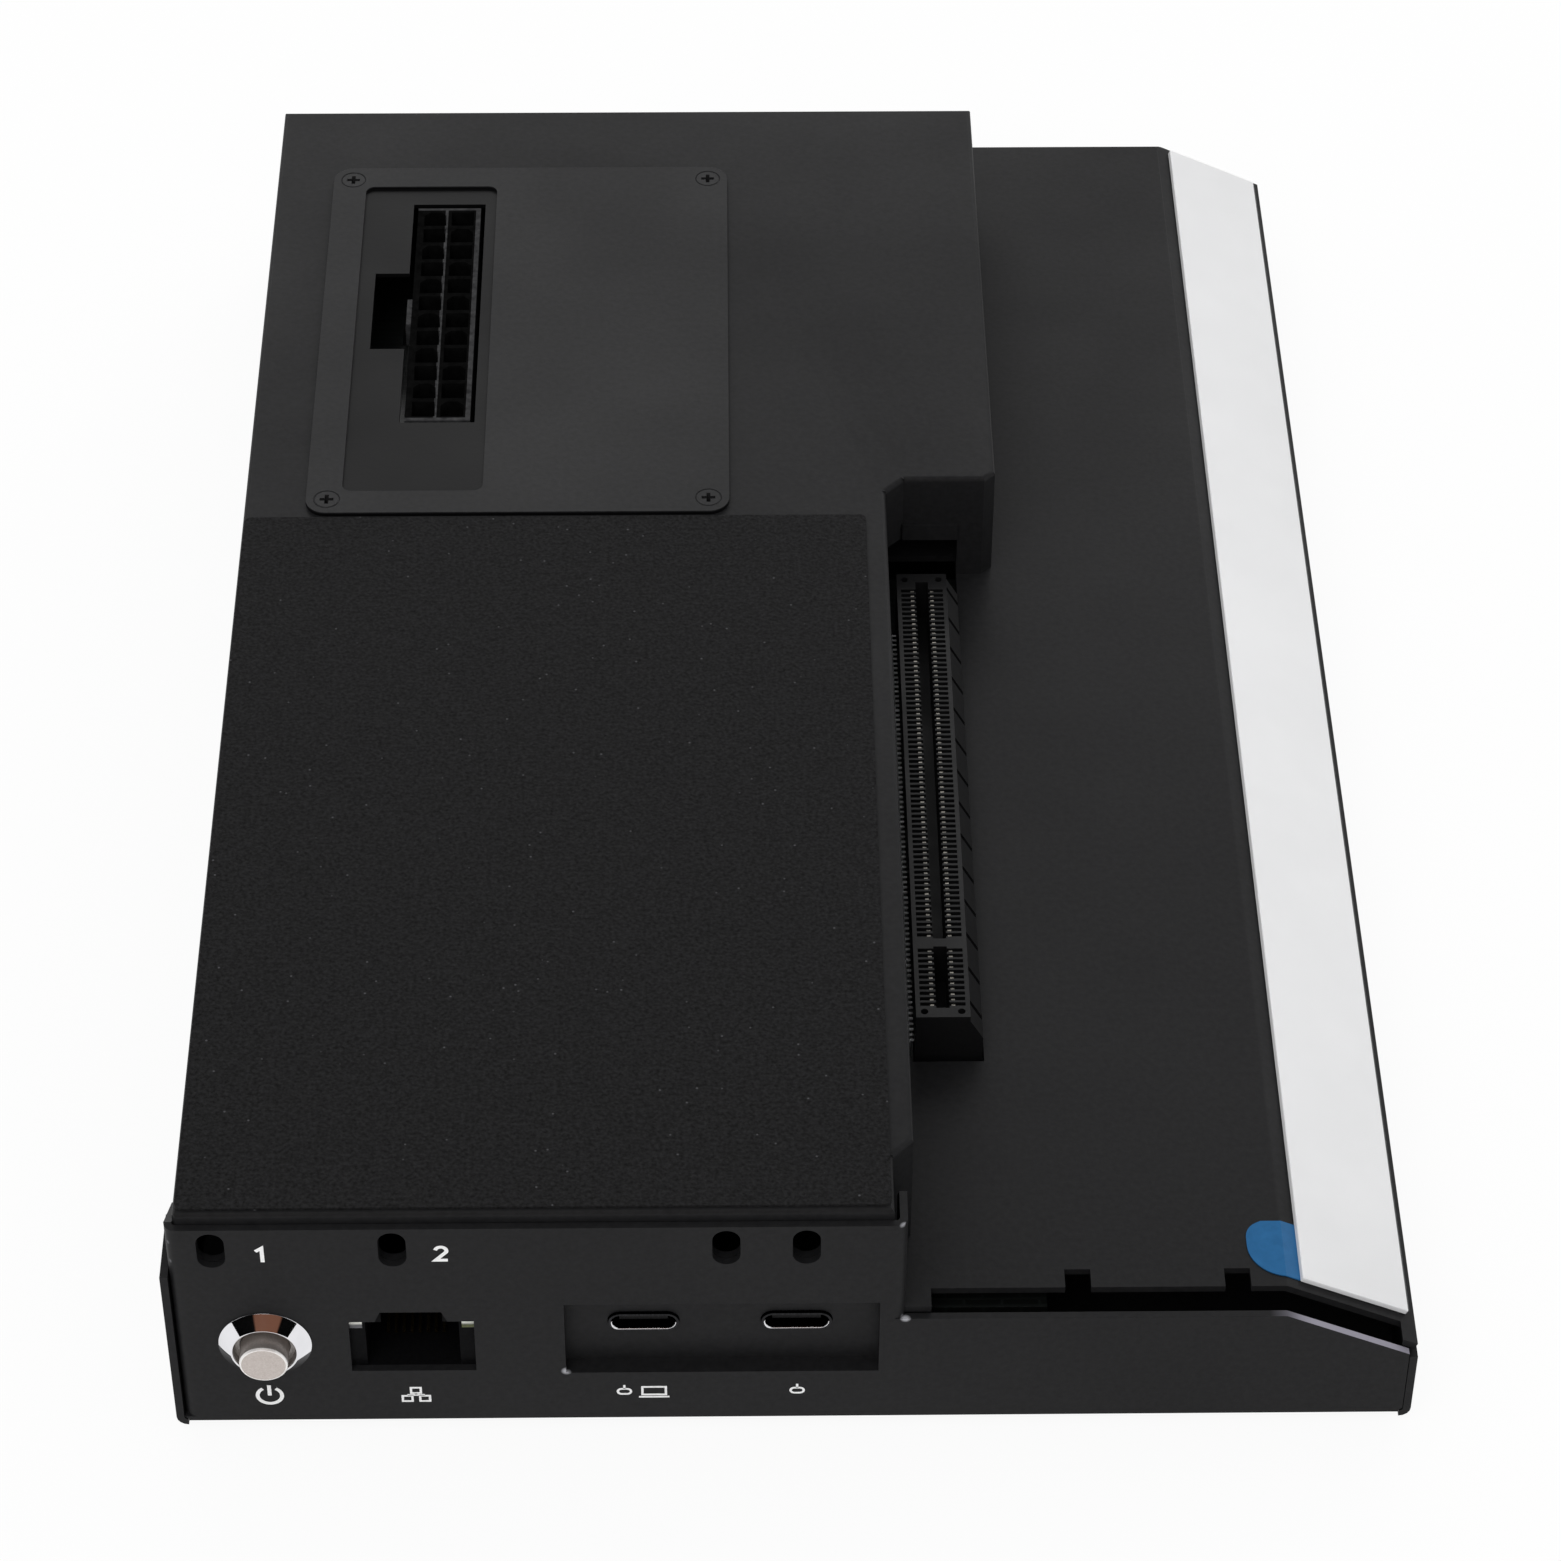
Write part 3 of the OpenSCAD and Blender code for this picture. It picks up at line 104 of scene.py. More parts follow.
def new_material(name):
    """An empty material with its tree, its shader and the object coordinates that its patterns use."""
    material = bpy.data.materials.new(name)
    material.use_nodes = True
    tree = material.node_tree
    tree.nodes.clear()
    out = add(tree, "ShaderNodeOutputMaterial")
    shader = add(tree, "ShaderNodeBsdfPrincipled")
    tree.links.new(shader.outputs[0], out.inputs["Surface"])
    where = add(tree, "ShaderNodeTexCoord").outputs["Object"]
    return material, tree, shader, where


def set_shader(shader, **values):
    """Sets the shader's own sockets, named with underscores for spaces."""
    for name, value in values.items():
        shader.inputs[name.replace("_", " ")].default_value = value


def vary(tree, where, size_mm, low, high, detail=3.0, **settings):
    """A value that wanders between low and high in patches of that size."""
    noise = add(tree, "ShaderNodeTexNoise",
                {"Vector": where, "Scale": repeats(size_mm), "Detail": detail, "Roughness": 0.6}, **settings)
    return add(tree, "ShaderNodeMapRange",
               {"Value": noise.outputs["Fac"], "From Min": 0.3, "From Max": 0.7, "To Min": low, "To Max": high})


def tinted(tree, factor, dark, light):
    """A colour between two by a factor; each is a hex colour or another node's colour."""
    mix = add(tree, "ShaderNodeMix", {0: factor}, data_type="RGBA")
    for slot, colour in ((6, dark), (7, light)):
        if isinstance(colour, str):
            mix.inputs[slot].default_value = (*linear(colour), 1)
        else:
            tree.links.new(colour, mix.inputs[slot])
    return mix.outputs[2]


def rough_bump(tree, shader, height, depth_mm, strength=1.0):
    bump = add(tree, "ShaderNodeBump", {"Height": height, "Distance": depth_mm * MM, "Strength": strength})
    tree.links.new(bump.outputs["Normal"], shader.inputs["Normal"])


def within(tree, where, place, radius_mm):
    """1 near a place, fading to 0 at that radius."""
    off = add(tree, "ShaderNodeVectorMath", {0: where, 1: place}, operation="DISTANCE")
    return add(tree, "ShaderNodeMapRange", {"Value": off.outputs["Value"], "From Min": radius_mm * MM,
                                            "From Max": radius_mm * MM * 0.4}).outputs[0]


def powder_coat(name, dark, light, gloss=0.09, painted_glints=(), slope=None, field_z=None):
    """Powder coat baked on sheet steel: a fine orange peel that breaks up a soft satin sheen. Painted glints
    lighten it at given corners, a painted highlight lightens a sloping cut edge, and painted shade darkens a stamped
    field."""
    material, tree, shader, where = new_material(name)
    grain = vary(tree, where, 0.9, 0, 1)
    colour = tinted(tree, grain.outputs[0], dark, light)
    # painted glints: the colour turns light grey near each given place
    for place in painted_glints:
        colour = tinted(tree, within(tree, where, place, 0.75), colour, "#A9A9AE")
    # painted highlight: light grey where the face looks along the slope, right of x = 60 mm
    if slope:
        normal = add(tree, "ShaderNodeTexCoord").outputs["Normal"]
        facing = add(tree, "ShaderNodeVectorMath", {0: normal, 1: slope}, operation="DOT_PRODUCT")
        painted_edge_highlight = add(tree, "ShaderNodeMapRange", {"Value": facing.outputs["Value"], "From Min": 0.965, "From Max": 0.985,
                                                "To Max": 0.9})
        across = add(tree, "ShaderNodeSeparateXYZ", {0: where}).outputs["X"]
        far = add(tree, "ShaderNodeMapRange", {"Value": across, "From Min": 60 * MM, "From Max": 64 * MM})
        both = add(tree, "ShaderNodeMath", {0: painted_edge_highlight.outputs[0], 1: far.outputs[0]}, operation="MULTIPLY")
        colour = tinted(tree, both.outputs[0], colour, "#9A97A3")
    # painted shade: near black below field_z
    if field_z:
        level = add(tree, "ShaderNodeSeparateXYZ", {0: where})
        painted_field_shade = add(tree, "ShaderNodeMath", {0: level.outputs["Z"], 1: field_z}, operation="LESS_THAN")
        colour = tinted(tree, painted_field_shade.outputs[0], colour, "#0A0A0B")
    tree.links.new(colour, shader.inputs["Base Color"])
    rough = vary(tree, where, 45, 0.42, 0.54)
    tree.links.new(rough.outputs[0], shader.inputs["Roughness"])
    # the real peel is 0.3 mm across; 0.9 mm is as fine as still shows
    rough_bump(tree, shader, grain.outputs[0], 0.02, 0.35)
    set_shader(shader, Specular_IOR_Level=gloss)
    return material


def foam_mat():
    """Thin closed cell foam with a dull skin: soft black with pin-prick specks of dust."""
    material, tree, shader, where = new_material("closed_cell_foam_mat")
    grain = vary(tree, where, 0.5, 0, 1, detail=4)
    skin = tinted(tree, grain.outputs[0], "#060606", "#222223")
    cells = add(tree, "ShaderNodeTexVoronoi", {"Vector": where, "Scale": repeats(2.6)})
    speck = add(tree, "ShaderNodeMapRange", {"Value": cells.outputs["Distance"], "From Min": 0.07, "From Max": 0.04})
    tree.links.new(tinted(tree, speck.outputs[0], skin, "#48484A"), shader.inputs["Base Color"])
    rough_bump(tree, shader, grain.outputs[0], 0.05, 0.9)
    set_shader(shader, Roughness=0.72, Specular_IOR_Level=0.1)
    return material


def moulded_plastic(name, dark, light, rough=0.5, grain_mm=0.5, gloss=0.18):
    """Glass filled plastic from a spark-eroded mould: an even fine grain that scatters highlights."""
    material, tree, shader, where = new_material(name)
    grain = vary(tree, where, grain_mm, 0, 1)
    tree.links.new(tinted(tree, grain.outputs[0], dark, light), shader.inputs["Base Color"])
    spread = vary(tree, where, 6, rough - 0.05, rough + 0.07)
    tree.links.new(spread.outputs[0], shader.inputs["Roughness"])
    rough_bump(tree, shader, grain.outputs[0], 0.01, 0.3)
    set_shader(shader, Specular_IOR_Level=gloss)
    return material


def header_nylon():
    """Black nylon of the power header: its outer frame and middle bar get a painted highlight, the cells stay black."""
    material, tree, shader, where = new_material("black_nylon_painted_lit_frame")
    axes = add(tree, "ShaderNodeSeparateXYZ", {0: where})
    low, high = HEADER_LOW, HEADER_HIGH
    # painted highlight: a lighter colour along the frame's lines and the middle bar
    lit = None
    for axis, place, half in (("X", low.x + 1.0 * MM, 0.4), ("X", (low.x + high.x) / 2 + 0.33 * MM, 0.22),
                              ("X", high.x - 0.35 * MM, 0.35), ("Y", low.y + 0.3 * MM, 0.35), ("Y", high.y, 0.5)):
        line = add(tree, "ShaderNodeMath", {0: axes.outputs[axis], 1: place, 2: half * MM}, operation="COMPARE")
        both = lit and add(tree, "ShaderNodeMath", {0: lit, 1: line.outputs[0]}, operation="MAXIMUM")
        lit = both.outputs[0] if both else line.outputs[0]
    grain = vary(tree, where, 1.2, 0, 1)
    deep = tinted(tree, grain.outputs[0], "#080808", "#101010")
    edge = tinted(tree, grain.outputs[0], "#2A2A2B", "#464647")
    tree.links.new(tinted(tree, lit, deep, edge), shader.inputs["Base Color"])
    rough_bump(tree, shader, grain.outputs[0], 0.01, 0.3)
    set_shader(shader, Roughness=0.5, Specular_IOR_Level=0.0)
    return material


def plated_metal(name, dark, light, rough=0.18, streak_mm=0.25):
    """Plated metal from rolled strip: fine streaks along the rolling that stretch the highlights."""
    material, tree, shader, where = new_material(name)
    along = add(tree, "ShaderNodeMapping", {"Vector": where, "Scale": (1, 1, 0.08)})
    streaks = vary(tree, along.outputs[0], streak_mm, 0, 1)
    tree.links.new(tinted(tree, streaks.outputs[0], dark, light), shader.inputs["Base Color"])
    spread = add(tree, "ShaderNodeMapRange",
                 {"Value": streaks.outputs[0], "To Min": rough - 0.04, "To Max": rough + 0.06})
    tree.links.new(spread.outputs[0], shader.inputs["Roughness"])
    rough_bump(tree, shader, streaks.outputs[0], 0.002, 0.2)
    set_shader(shader, Metallic=1.0)
    return material


def polished_chrome():
    """Chrome plate over a polished die casting: a mirror with a breath of haze from handling."""
    material, tree, shader, where = new_material("polished_chrome_plate")
    haze = vary(tree, where, 3, 0.02, 0.07)
    tree.links.new(haze.outputs[0], shader.inputs["Roughness"])
    tone = vary(tree, where, 8, 0, 1)
    tree.links.new(tinted(tree, tone.outputs[0], "#DADADD", "#EDEDF0"), shader.inputs["Base Color"])
    set_shader(shader, Metallic=1.0)
    return material


def satin_metal(name, dark, light, metallic):
    """Bead blasted steel or dull solder: a soft grey with no clear reflection."""
    material, tree, shader, where = new_material(name)
    grain = vary(tree, where, 0.18, 0, 1)
    tree.links.new(tinted(tree, grain.outputs[0], dark, light), shader.inputs["Base Color"])
    spread = vary(tree, where, 2, 0.34, 0.42)
    tree.links.new(spread.outputs[0], shader.inputs["Roughness"])
    rough_bump(tree, shader, grain.outputs[0], 0.004, 0.3)
    set_shader(shader, Metallic=metallic)
    return material


def gloss_trim():
    """Injection moulded white trim, polished: a clear gloss over an even white."""
    material, tree, shader, where = new_material("polished_white_abs")
    tone = vary(tree, where, 30, 0, 1)
    tree.links.new(tinted(tree, tone.outputs[0], "#E0E0E1", "#E7E7E8"), shader.inputs["Base Color"])
    wave = vary(tree, where, 14, 0, 1, detail=1)
    rough_bump(tree, shader, wave.outputs[0], 0.01, 0.1)
    set_shader(shader, Roughness=0.32, Coat_Weight=0.25, Coat_Roughness=0.25)
    return material


def clear_film():
    """Peel-off polythene film: nearly clear, with small ripples where it has lifted."""
    material, tree, shader, where = new_material("polythene_protective_film")
    along = add(tree, "ShaderNodeMapping", {"Vector": where, "Scale": (1, 0.3, 1)})
    ripple = vary(tree, along.outputs[0], 5, 0, 1, detail=2)
    rough_bump(tree, shader, ripple.outputs[0], 0.01, 0.08)
    cover = vary(tree, where, 12, 0.03, 0.06)
    tree.links.new(cover.outputs[0], shader.inputs["Alpha"])
    set_shader(shader, Base_Color=(*linear("#F4F6F8"), 1), Roughness=0.3)
    return material


def tinted_tab():
    """Printed blue polythene tab: a thin film whose colour thins out in small patches."""
    material, tree, shader, where = new_material("blue_polythene_tab")
    patches = vary(tree, where, 1.6, 0, 1, detail=4)
    tree.links.new(tinted(tree, patches.outputs[0], "#175888", "#1F6194"), shader.inputs["Base Color"])
    rough_bump(tree, shader, patches.outputs[0], 0.01, 0.15)
    set_shader(shader, Roughness=0.38, Specular_IOR_Level=0.14)
    return material


def solder_mask_board():
    """Glass fibre board under dark solder resist: faint copper tracks show as slightly lighter lines."""
    material, tree, shader, where = new_material("solder_resist_on_glass_fibre")
    tracks = add(tree, "ShaderNodeTexBrick",
                 {"Vector": where, "Scale": repeats(3), "Mortar Size": 0.06, "Brick Width": 1.6, "Row Height": 0.4})
    tracks.inputs["Color1"].default_value = (*linear("#0B0D0C"), 1)
    tracks.inputs["Color2"].default_value = (*linear("#0E100F"), 1)
    tracks.inputs["Mortar"].default_value = (*linear("#161918"), 1)
    tree.links.new(tracks.outputs["Color"], shader.inputs["Base Color"])
    rough_bump(tree, shader, tracks.outputs["Fac"], 0.03, 0.5)
    set_shader(shader, Roughness=0.35)
    return material


def black_rubber():
    """Moulded rubber: dull, with a fine sandy skin."""
    material, tree, shader, where = new_material("moulded_black_rubber")
    grain = vary(tree, where, 0.7, 0, 1)
    tree.links.new(tinted(tree, grain.outputs[0], "#101010", "#171717"), shader.inputs["Base Color"])
    rough_bump(tree, shader, grain.outputs[0], 0.03, 0.4)
    set_shader(shader, Roughness=0.8, Specular_IOR_Level=0.12)
    return material


def light_pipe():
    """Two clear plastic light pipes, the left one grey, the right one green, with a painted white highlight at the top,
    where the sky enters.
    """
    material, tree, shader, where = new_material("clear_acrylic_light_pipe")
    axes = add(tree, "ShaderNodeSeparateXYZ", {"Vector": where})
    side = add(tree, "ShaderNodeMath", {0: axes.outputs["X"], 1: JACK_X}, operation="GREATER_THAN")
    clouds = vary(tree, where, 0.8, 0, 1)
    grey = tinted(tree, clouds.outputs[0], "#3E3E42", "#57575B")
    green = tinted(tree, clouds.outputs[0], "#343A08", "#4E540F")
    both = tinted(tree, side.outputs[0], grey, green)
    # painted highlight: white towards the top
    painted_top_glow = add(tree, "ShaderNodeMapRange", {"Value": axes.outputs["Z"], "From Min": JACK_LOW.z + 0.55 * MM,
                                             "From Max": JACK_LOW.z + 0.95 * MM})
    tree.links.new(tinted(tree, painted_top_glow.outputs[0], both, "#E6E6DE"), shader.inputs["Base Color"])
    rough_bump(tree, shader, clouds.outputs[0], 0.01, 0.2)
    set_shader(shader, Roughness=0.25)
    return material


def printed_ink():
    """Screen printed white ink: a flat, slightly uneven white a hair above the paint."""
    material, tree, shader, where = new_material("screen_printed_ink")
    cover = vary(tree, where, 0.3, 0, 1)
    tree.links.new(tinted(tree, cover.outputs[0], "#F0F0F0", "#FBFBFB"), shader.inputs["Base Color"])
    rough_bump(tree, shader, cover.outputs[0], 0.005, 0.3)
    set_shader(shader, Roughness=0.6)
    return material


def dress(material, *names):
    """Gives CAD nodes that material in place of their plain one."""
    for name in names:
        slots = NODES[name].data.materials
        slots.clear()
        slots.append(material)


def soften(width_mm, *names):
    """Rounds the sharp edges of CAD nodes by a hair, so that they catch the light as real edges do."""
    for name in names:
        piece = NODES[name]
        mesh = piece.data
        for attribute in ("custom_normal", "sharp_edge", "sharp_face"):
            if mesh.attributes.get(attribute):
                mesh.attributes.remove(mesh.attributes[attribute])
        mesh.polygons.foreach_set("use_smooth", [True] * len(mesh.polygons))
        weld = piece.modifiers.new("joined_faces", "WELD")
        weld.merge_threshold = 1e-6
        flat = piece.modifiers.new("whole_faces", "DECIMATE")
        flat.decimate_type = "DISSOLVE"
        flat.angle_limit = math.radians(0.5)
        bevel = piece.modifiers.new("soft_edges", "BEVEL")
        bevel.width = width_mm * MM
        bevel.segments = 2
        bevel.limit_method = "ANGLE"
        bevel.angle_limit = math.radians(33)
        bevel.harden_normals = True


def finish_piece(name, mesh, material, body="case", smooth=False):
    """Links a new mesh as a named piece that rides on a body, or on none yet."""
    piece = bpy.data.objects.new(name, mesh)
    bpy.context.scene.collection.objects.link(piece)
    mesh.materials.append(material)
    mesh.polygons.foreach_set("use_smooth", [smooth] * len(mesh.polygons))
    if body:
        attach(piece, body)
    return piece


def mesh_from(bm, name):
    mesh = bpy.data.meshes.new(name)
    bmesh.ops.recalc_face_normals(bm, faces=bm.faces)
    bm.to_mesh(mesh)
    bm.free()
    return mesh


def turned(bm, profile, place, steps=96):
    """Turns a profile of (radius, height) about an axis set by a matrix, and closes it on the axis."""
    rings = []
    for radius, height in profile:
        if radius < 1e-7:
            rings.append([bm.verts.new(place @ Vector((0, 0, height)))])
            continue
        turn = [2 * math.pi * i / steps for i in range(steps)]
        rings.append([bm.verts.new(place @ Vector((radius * math.cos(a), radius * math.sin(a), height)))
                      for a in turn])
    for low, high in zip(rings, rings[1:]):
        for i in range(steps):
            j = (i + 1) % steps
            corners = [low[i % len(low)], low[j % len(low)], high[j % len(high)], high[i % len(high)]]
            face = list(dict.fromkeys(corners))
            if len(face) > 2:
                bm.faces.new(face)


def arc(centre, radius, start, end, steps=8):
    """Points of an arc in degrees."""
    angles = [math.radians(start + (end - start) * i / steps) for i in range(steps + 1)]
    return [(centre[0] + radius * math.cos(a), centre[1] + radius * math.sin(a)) for a in angles]


def stroke(bm, points, width, y, closed=False):
    """A printed line of that width on the front panel, through points given as (x, z)."""
    count = len(points)
    sides = []
    for i, p in enumerate(points):
        here = Vector(p)
        before = Vector(points[i - 1]) if closed or i > 0 else None
        after = Vector(points[(i + 1) % count]) if closed or i < count - 1 else None
        a = (here - before).normalized() if before is not None else (after - here).normalized()
        b = (after - here).normalized() if after is not None else a
        na, nb = Vector((-a.y, a.x)), Vector((-b.y, b.x))
        out = (na + nb) / (1 + na.dot(nb)) * width / 2
        sides.append([bm.verts.new((q.x, y, q.y)) for q in (here + out, here - out)])
    for i in range(count if closed else count - 1):
        (a, b), (c, d) = sides[i], sides[(i + 1) % count]
        bm.faces.new((a, c, d, b))


def bead(bm, points, radii, steps=8):
    """A round bead through points that lie in one plane facing the front."""
    rings = []
    for i, (point, radius) in enumerate(zip(points, radii)):
        along = (points[min(i + 1, len(points) - 1)] - points[max(i - 1, 0)]).normalized()
        out = along.cross(Vector((0, 1, 0)))
        turn = [2 * math.pi * k / steps for k in range(steps)]
        rings.append([bm.verts.new(point + radius * (math.cos(a) * out + math.sin(a) * Vector((0, 1, 0)))) for a in turn])
    for low, high in zip(rings, rings[1:]):
        for k in range(steps):
            bm.faces.new((low[k], low[(k + 1) % steps], high[(k + 1) % steps], high[k]))
    bm.faces.new(rings[0])
    bm.faces.new(rings[-1])


def cross_head(name, places, axis, head_r, depth, recess, replaced, material):
    """Countersunk screws with a cross recess, each with its face at its place."""
    bm = bmesh.new()
    arm = recess / 3.4
    for place in places:
        turn = Matrix.Translation(place) @ Vector((0, 0, 1)).rotation_difference(axis).to_matrix().to_4x4()
        # the face, cut as four quarters round the cross, whose walls run down to a point
        ring = [Vector((head_r * math.cos(a), head_r * math.sin(a), 0))
                for a in [math.pi / 24 * i for i in range(48)]]
        cross = []
        for k in range(4):
            c, s = math.cos(k * math.pi / 2), math.sin(k * math.pi / 2)
            for x, y in ((recess, -arm), (recess, arm), (arm, arm)):
                cross.append(Vector((x * c - y * s, x * s + y * c, 0)))
        outer = [bm.verts.new(turn @ (p * 0.86)) for p in ring]
        inner = [bm.verts.new(turn @ p) for p in cross]
        edges = [bm.edges.new((loop[i], loop[(i + 1) % len(loop)])) for loop in (outer, inner) for i in range(len(loop))]
        bmesh.ops.triangle_fill(bm, edges=edges, use_beauty=True)
        lower = [bm.verts.new(turn @ Vector((p.x * 0.45, p.y * 0.45, -depth * 0.35))) for p in cross]
        for i in range(12):
            j = (i + 1) % 12
            bm.faces.new((inner[i], inner[j], lower[j], lower[i]))
        bm.faces.new(lower)
        shank = head_r - 0.7 * MM
        last = outer
        for radius, height in ((head_r, -0.2 * MM), (shank, -0.8 * MM), (shank, -depth)):
            ringed = [bm.verts.new(turn @ Vector((p.x / head_r * radius, p.y / head_r * radius, height))) for p in ring]
            for i in range(48):
                j = (i + 1) % 48
                bm.faces.new((last[i], last[j], ringed[j], ringed[i]))
            last = ringed
        bm.faces.new(last)
    piece = finish_piece(name, mesh_from(bm, name), material)
    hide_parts(replaced)
    return piece


def dark_screen(scene):
    """The dark corner of the studio behind the camera, which only reflections see: black with a warm patch."""
    bm = bmesh.new()
    columns = []
    for i in range(23):
        across = math.radians(-66 + 5 * i)
        rises = [math.radians(3 + 5.5 * j) for j in range(11)]
        columns.append([bm.verts.new((1.1 * math.cos(e) * math.sin(across), -1.1 * math.cos(e) * math.cos(across),
                                      1.1 * math.sin(e))) for e in rises])
    for low, high in zip(columns, columns[1:]):
        for j in range(10):
            bm.faces.new((low[j], low[j + 1], high[j + 1], high[j]))
    screen = bpy.data.objects.new("dark_screen", mesh_from(bm, "dark_screen"))
    scene.collection.objects.link(screen)
    for kind in ("camera", "diffuse", "transmission", "shadow", "volume_scatter"):
        setattr(screen, "visible_" + kind, False)
    material = bpy.data.materials.new("dark_cloth")
    material.use_nodes = True
    tree = material.node_tree
    tree.nodes.clear()
    axes = add(tree, "ShaderNodeSeparateXYZ", {0: add(tree, "ShaderNodeTexCoord").outputs["Object"]})
    off = add(tree, "ShaderNodeMath", {0: axes.outputs["X"]}, operation="ABSOLUTE")
    warm = add(tree, "ShaderNodeMapRange", {"Value": off.outputs[0], "From Min": 0.42, "From Max": 0.36})
    cloth = tinted(tree, warm.outputs[0], "#060606", "#76503F")
    glow = add(tree, "ShaderNodeEmission", {"Color": cloth})
    add(tree, "ShaderNodeOutputMaterial", {"Surface": glow.outputs[0]})
    screen.data.materials.append(material)


class EnclosureSizes(PropertyGroup):
    edge_radius: FloatProperty(name="Edge radius", description="Rounding of the sheet's cut edges, in mm",
                               default=0.12, min=0.02, max=0.3)
    panel_edge_radius: FloatProperty(name="Panel edge radius", description="Rounding of the front panel's edges, in mm",
                                     default=0.28, min=0.05, max=0.4)
    ink_lift: FloatProperty(name="Ink thickness", description="Thickness of the printed marks, in mm",
                            default=0.03, min=0.01, max=0.1)
    line_width: FloatProperty(name="Mark line width", description="Width of the printed lines, in mm",
                              default=0.5, min=0.2, max=0.7)
    recess: FloatProperty(name="Screw recess", description="Reach of the cross recess in the screws, in mm",
                          default=1.0, min=0.6, max=1.5)
    cap_rim: FloatProperty(name="Button rim radius", description="Rounding of the button's rim, in mm",
                           default=0.3, min=0.1, max=0.5)


class EnclosureColours(PropertyGroup):
    floor: FloatVectorProperty(name="Floor", description="Colour of the floor and backdrop", size=3,
                               subtype="COLOR", default=linear("#FBFBFB"), min=0, max=1)


class ENCLOSURE_OT_case_metal(Operator):
    """Finish the folded sheet steel: tray, panel, box cover and deck"""
    bl_idname = "enclosure.case_metal"
    bl_label = "Case sheet metal"

    def execute(self, context):
        sizes = context.scene.enclosure_sizes
        coat = ("#1B1B1C", "#212122")
        case = ("base_tray", "box_cover", "deck_cover")
        dress(powder_coat("black_powder_coat_on_steel", *coat), *case)
        soften(sizes.edge_radius, *case)
        # painted glints, light grey where highlights fall: the panel's top, its step, the ports' recess and its left
        # edge
        left, right = PANEL_LOW.x, 13.5 * MM
        face, top = PANEL_LOW.y, PANEL_HIGH.z
        painted_glints = [(right, face, top), (right + 0.4 * MM, face, 21.5 * MM), (-29.1 * MM, face, 11.7 * MM),
                  (left, face, top - 2.5 * MM), (left, face, top - 6 * MM)]
        dress(powder_coat("black_powder_coat_painted_glints_at_corners", *coat, painted_glints=painted_glints, slope=(0.427, 0, 0.904)),
              "front_panel")
        soften(sizes.panel_edge_radius, "front_panel")
        return {"FINISHED"}


class ENCLOSURE_OT_mat_and_plate(Operator):
    """Finish the power supply mat and the plate round the power header"""
    bl_idname = "enclosure.mat_and_plate"
    bl_label = "Mat and plug plate"

    def execute(self, context):
        dress(foam_mat(), "power_supply_mat")
        # the plate's stamped field below 41.2 mm gets painted shade
        dress(powder_coat("satin_paint_on_steel_plate_with_painted_field_shade", "#1F1F20", "#252526", 0.12, field_z=41.2 * MM), "plug_plate")
        soften(context.scene.enclosure_sizes.edge_radius, "plug_plate")
        return {"FINISHED"}


class ENCLOSURE_OT_screws(Operator):
    """Make the plate's countersunk screws with cross recesses"""
    bl_idname = "enclosure.screws"
    bl_label = "Screws"

    def execute(self, context):
        black = powder_coat("painted_steel_screws", "#1E1E1F", "#262627", 0.14)
        recess = context.scene.enclosure_sizes.recess * MM
        places = []
        low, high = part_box("plug_plate_screws")
        r = 1.95 * MM
        for x in (low.x + r, high.x - r):
            for y in (low.y + r, high.y - r):
                places.append(Vector((x, y, PLATE_HIGH.z)))
        cross_head("plate_screw_heads", places, Vector((0, 0, 1)), r, 4 * MM, recess, "plug_plate_screws", black)
        return {"FINISHED"}


class ENCLOSURE_OT_header(Operator):
    """Finish the power header and its pins"""
    bl_idname = "enclosure.header"
    bl_label = "Power header"

    def execute(self, context):
        dress(header_nylon(), "header_housing")
        dress(plated_metal("tin_plated_brass", "#9C968A", "#C2BCAF", 0.3), "header_pins")
        return {"FINISHED"}


class ENCLOSURE_OT_card_slot(Operator):
    """Finish the card slot and add the tinned tails along its side"""
    bl_idname = "enclosure.card_slot"
    bl_label = "Card slot"

    def execute(self, context):
        dress(moulded_plastic("black_glass_filled_nylon", "#101011", "#171718", 0.46, 0.4), "card_slot_housing")
        soften(0.06, "card_slot_housing")
        dress(plated_metal("gold_flashed_contacts", "#3A3937", "#9C9890", 0.3, 1.6), "card_slot_contacts")
        # tinned tails drawn near white and hardly metallic: their tin colour with a painted highlight for the glints in
        # the slit
        tin = satin_metal("tinned_tails_painted_bright", "#C9C9CC", "#F0F0F2", 0.2)
        bm = bmesh.new()
        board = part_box("main_board")[1].z
        side, out = SLOT_LOW.x, SLOT_LOW.x - 0.7 * MM
        for i in range(82):
            y = SLOT_LOW.y + (3.2 + i * 1.0) * MM
            path = [(side + 0.05 * MM, 21.9 * MM), (out + 0.15 * MM, 21.9 * MM), (out, 21.7 * MM), (out, board)]
            bead(bm, [Vector((x, y, z)) for x, z in path], [0.17 * MM] * 4, 6)
        finish_piece("slot_tails", mesh_from(bm, "slot_tails"), tin, smooth=True)
        return {"FINISHED"}


